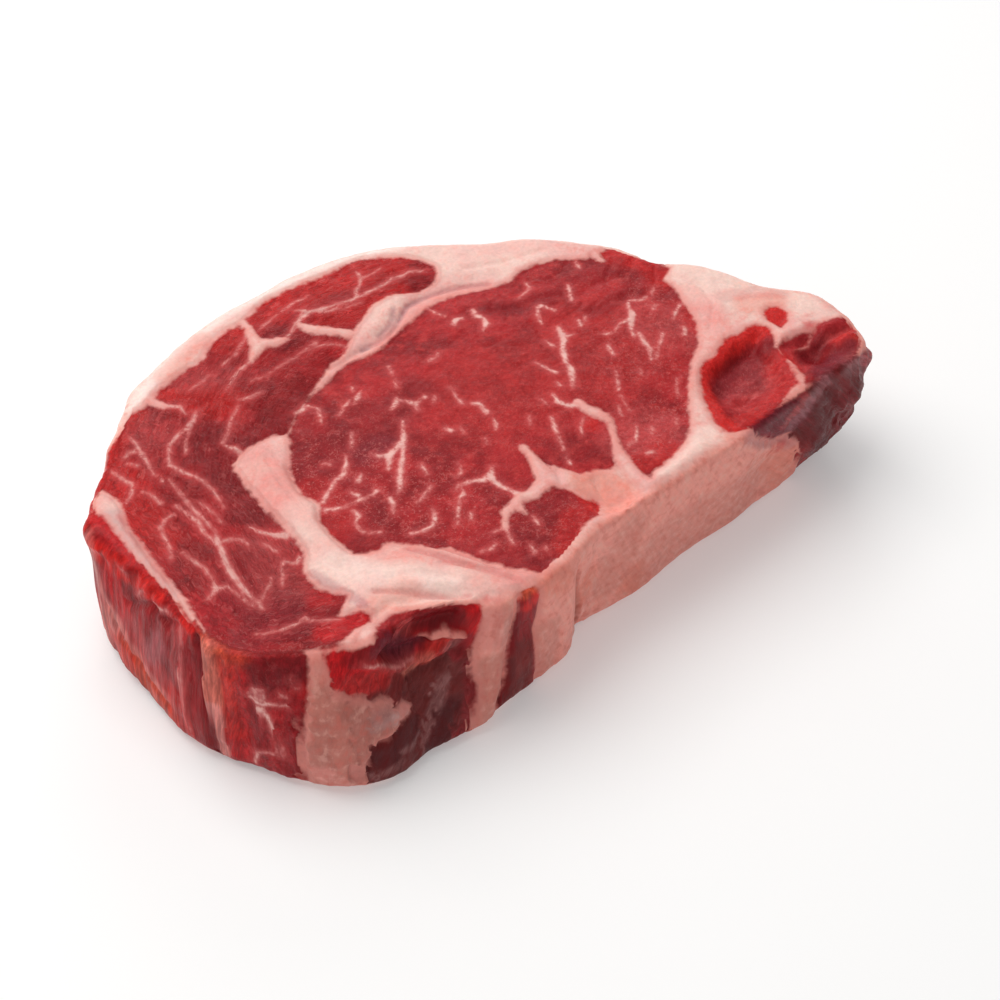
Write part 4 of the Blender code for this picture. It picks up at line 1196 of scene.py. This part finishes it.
def makeBeef():
    material = bpy.data.materials.new("rawBeef")
    material.use_nodes = True
    tree = material.node_tree
    sheet = Sheet(tree)
    shader = tree.nodes["Principled BSDF"]
    calc, times, plus, minus = sheet.calc, sheet.times, sheet.plus, sheet.minus
    ramp, mix, noise, grey = sheet.ramp, sheet.mix, sheet.noise, sheet.grey

    grainAt = sheet.field("grain", vector=True)
    fatAt, veinAt, sideAt, capAt, marbledAt = (sheet.field(name) for name in
                                               ("fat", "vein", "side", "cap", "marbled"))
    texture = tree.nodes.new("ShaderNodeTexCoord")
    place = sheet.scaled(texture.outputs["Object"], (1000.0, 1000.0, 1000.0))

    # noises that several layers share
    broad = noise(place, 0.11, 3.0, 0.55)
    cloud = noise(grainAt, 0.30, 3.0, 0.55)
    mottle = noise(grainAt, 0.85, 4.0, 0.62)
    tiny = noise(grainAt, 2.6, 2.0, 0.6)
    border = noise(place, 0.46, 3.0, 0.50)
    rosy = noise(place, 0.34, 4.0, 0.62)
    drawn = noise(grainAt, 0.55, 4.0, 0.62)

    # every border wanders a little
    fatEdge = plus(fatAt, times(minus(border, 0.5), beef["fatWander"]))
    fatMask = ramp(fatEdge, ramp(sideAt, 0.0, 1.0, -0.72, -1.05), 0.55)
    veinShift = plus(minus(border, 0.5), times(minus(mottle, 0.5), beef["veinWander"]))
    veinEdge = plus(veinAt, veinShift)
    halo = times(ramp(veinEdge, -1.8, 0.0), beef["halo"])
    veinMask = times(ramp(veinEdge, -0.46, 0.50), ramp(cloud, 0.3, 0.6, 0.66, 0.96))
    veinMask = times(veinMask, minus(1.0, times(capAt, 0.26)))
    veinCore = ramp(veinEdge, 0.0, 0.85)

    # fine marbling between the bundles
    spots = noise(grainAt, 1.0, 3.0, 0.6)
    curls = calc("ABSOLUTE", minus(drawn, 0.52))
    curls = times(ramp(curls, 0.0, 0.028, beef["curls"], 0.0), ramp(cloud, 0.42, 0.60))
    flecks = calc("MAXIMUM", ramp(spots, 0.57, 0.72, 0.0, beef["specks"]), curls)
    flecks = times(flecks, marbledAt)
    streaks = noise(sheet.scaled(grainAt, (0.8, 1.3, 1.0)), 0.80, 4.0, 0.62, distortion=0.5)
    streakMask = times(times(ramp(streaks, 0.54, 0.74), beef["streaks"]), capAt)
    thin = calc("MAXIMUM", flecks, streakMask)

    # lean: broad tone and the listed washes
    lean = mix(ramp(broad, 0.34, 0.66), beef["leanDeep"], beef["leanMain"])
    calm = minus(1.0, calc("MAXIMUM", times(sideAt, 0.70), times(capAt, 0.45)))
    lean = mix(times(times(ramp(cloud, 0.46, 0.72), 0.46), calm), lean, beef["leanLight"])
    lean = mix(sideAt, lean, mix(1.0, lean, beef["sideDepth"], "MULTIPLY"))
    lean = mix(capAt, lean, mix(1.0, lean, beef["capDepth"], "MULTIPLY"))
    coverShare = ramp(mottle, 0.3, 0.7, 0.72, 1.0)
    lean = sheet.washed(lean, sheet.field("leanPaint", vector=True),
                        times(sheet.field("leanCover"), coverShare), coverShare)

    # lean: soft bundles of fibres and a fine speckle
    tone = times(ramp(mottle, 0.26, 0.74, 0.80, 1.17, "LINEAR"),
                 ramp(tiny, 0.28, 0.72, 0.90, 1.10, "LINEAR"))
    tone = times(tone, mix(capAt, white, grey(ramp(streaks, 0.30, 0.56, 0.70, 1.03))))
    tone = times(tone, mix(sideAt, white, grey(ramp(mottle, 0.34, 0.66, 0.82, 1.14))))
    lean = mix(1.0, lean, grey(tone), "MULTIPLY")
    lean = mix(times(times(ramp(mottle, 0.52, 0.80), 0.24), calm), lean, beef["leanLine"])
    lean = mix(thin, lean, beef["veinEdge"])
    lean = mix(halo, lean, beef["veinHalo"])

    # fat: cream with rosy clouds and a pink border, blotched on the side
    fatTone = mix(ramp(broad, 0.36, 0.64), beef["fatPink"], beef["fatCream"])
    fatTone = mix(sideAt, fatTone, beef["sideFat"])
    fatTone = mix(times(ramp(rosy, 0.47, 0.70), 0.58), fatTone, beef["fatRose"])
    coverShare = ramp(rosy, 0.3, 0.7, 0.75, 1.0)
    fatTone = sheet.washed(fatTone, sheet.field("fatPaint", vector=True),
                           times(sheet.field("fatCover"), coverShare), coverShare)
    blotches = plus(times(border, 0.7), times(drawn, 0.3))
    darker = times(times(ramp(blotches, 0.50, 0.66), 0.46), sideAt)
    fatTone = mix(darker, fatTone, beef["sideRose"])
    lighter = times(times(ramp(blotches, 0.50, 0.34), 0.34), sideAt)
    fatTone = mix(lighter, fatTone, beef["sidePale"])
    speckle = plus(times(spots, 0.5), times(rosy, 0.5))
    fatSpeckle = ramp(speckle, 0.34, 0.66, 0.88, 1.07, "LINEAR")
    fatTone = mix(1.0, fatTone, grey(fatSpeckle), "MULTIPLY")
    rosyBorder = times(ramp(fatEdge, 0.1, 2.2, 1.0, 0.0), 0.60)
    fatTone = mix(rosyBorder, fatTone, beef["fatRose"])

    veinTone = mix(veinCore, beef["veinEdge"], beef["veinCore"])
    colour = mix(veinMask, lean, veinTone)
    colour = mix(fatMask, colour, fatTone)
    sheet.put(shader.inputs["Base Color"], colour)

    # moist surface: the lean is wetter than the fat, in patches
    anyFat = calc("MAXIMUM", fatMask, times(veinMask, 0.8))
    leanRough = ramp(cloud, 0.3, 0.7, *beef["leanGloss"])
    fatRough = ramp(broad, 0.3, 0.7, *beef["fatGloss"])
    rough = plus(times(leanRough, minus(1.0, anyFat)), times(fatRough, anyFat))
    rough = plus(rough, ramp(tiny, 0.3, 0.7, -0.08, 0.08))
    sheet.put(shader.inputs["Roughness"], rough)
    sheet.put(shader.inputs["Coat Weight"], ramp(rosy, 0.35, 0.65, *beef["coat"]))
    for socket, value in beef["shader"].items():
        shader.inputs[socket].default_value = value

    # fine relief
    leanHeight = plus(times(mottle, 1.1), times(tiny, 0.5))
    leanHeight = plus(leanHeight, times(times(streaks, capAt), 0.9))
    fatHeight = plus(times(rosy, 0.8), times(spots, 0.35))
    relief = plus(times(leanHeight, minus(1.0, anyFat)), times(fatHeight, anyFat))
    relief = plus(relief, times(anyFat, 0.5))
    bump = tree.nodes.new("ShaderNodeBump")
    for socket, value in beef["relief"].items():
        bump.inputs[socket].default_value = value
    sheet.put(bump.inputs["Height"], relief)
    sheet.put(shader.inputs["Normal"], bump.outputs["Normal"])
    return material


skin.data.materials.clear()
skin.data.materials.append(makeBeef())
makeActive(skin)
bpy.ops.object.shade_smooth()
print("the beef material is on")

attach(skin, "root")
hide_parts("ribeye_steak")
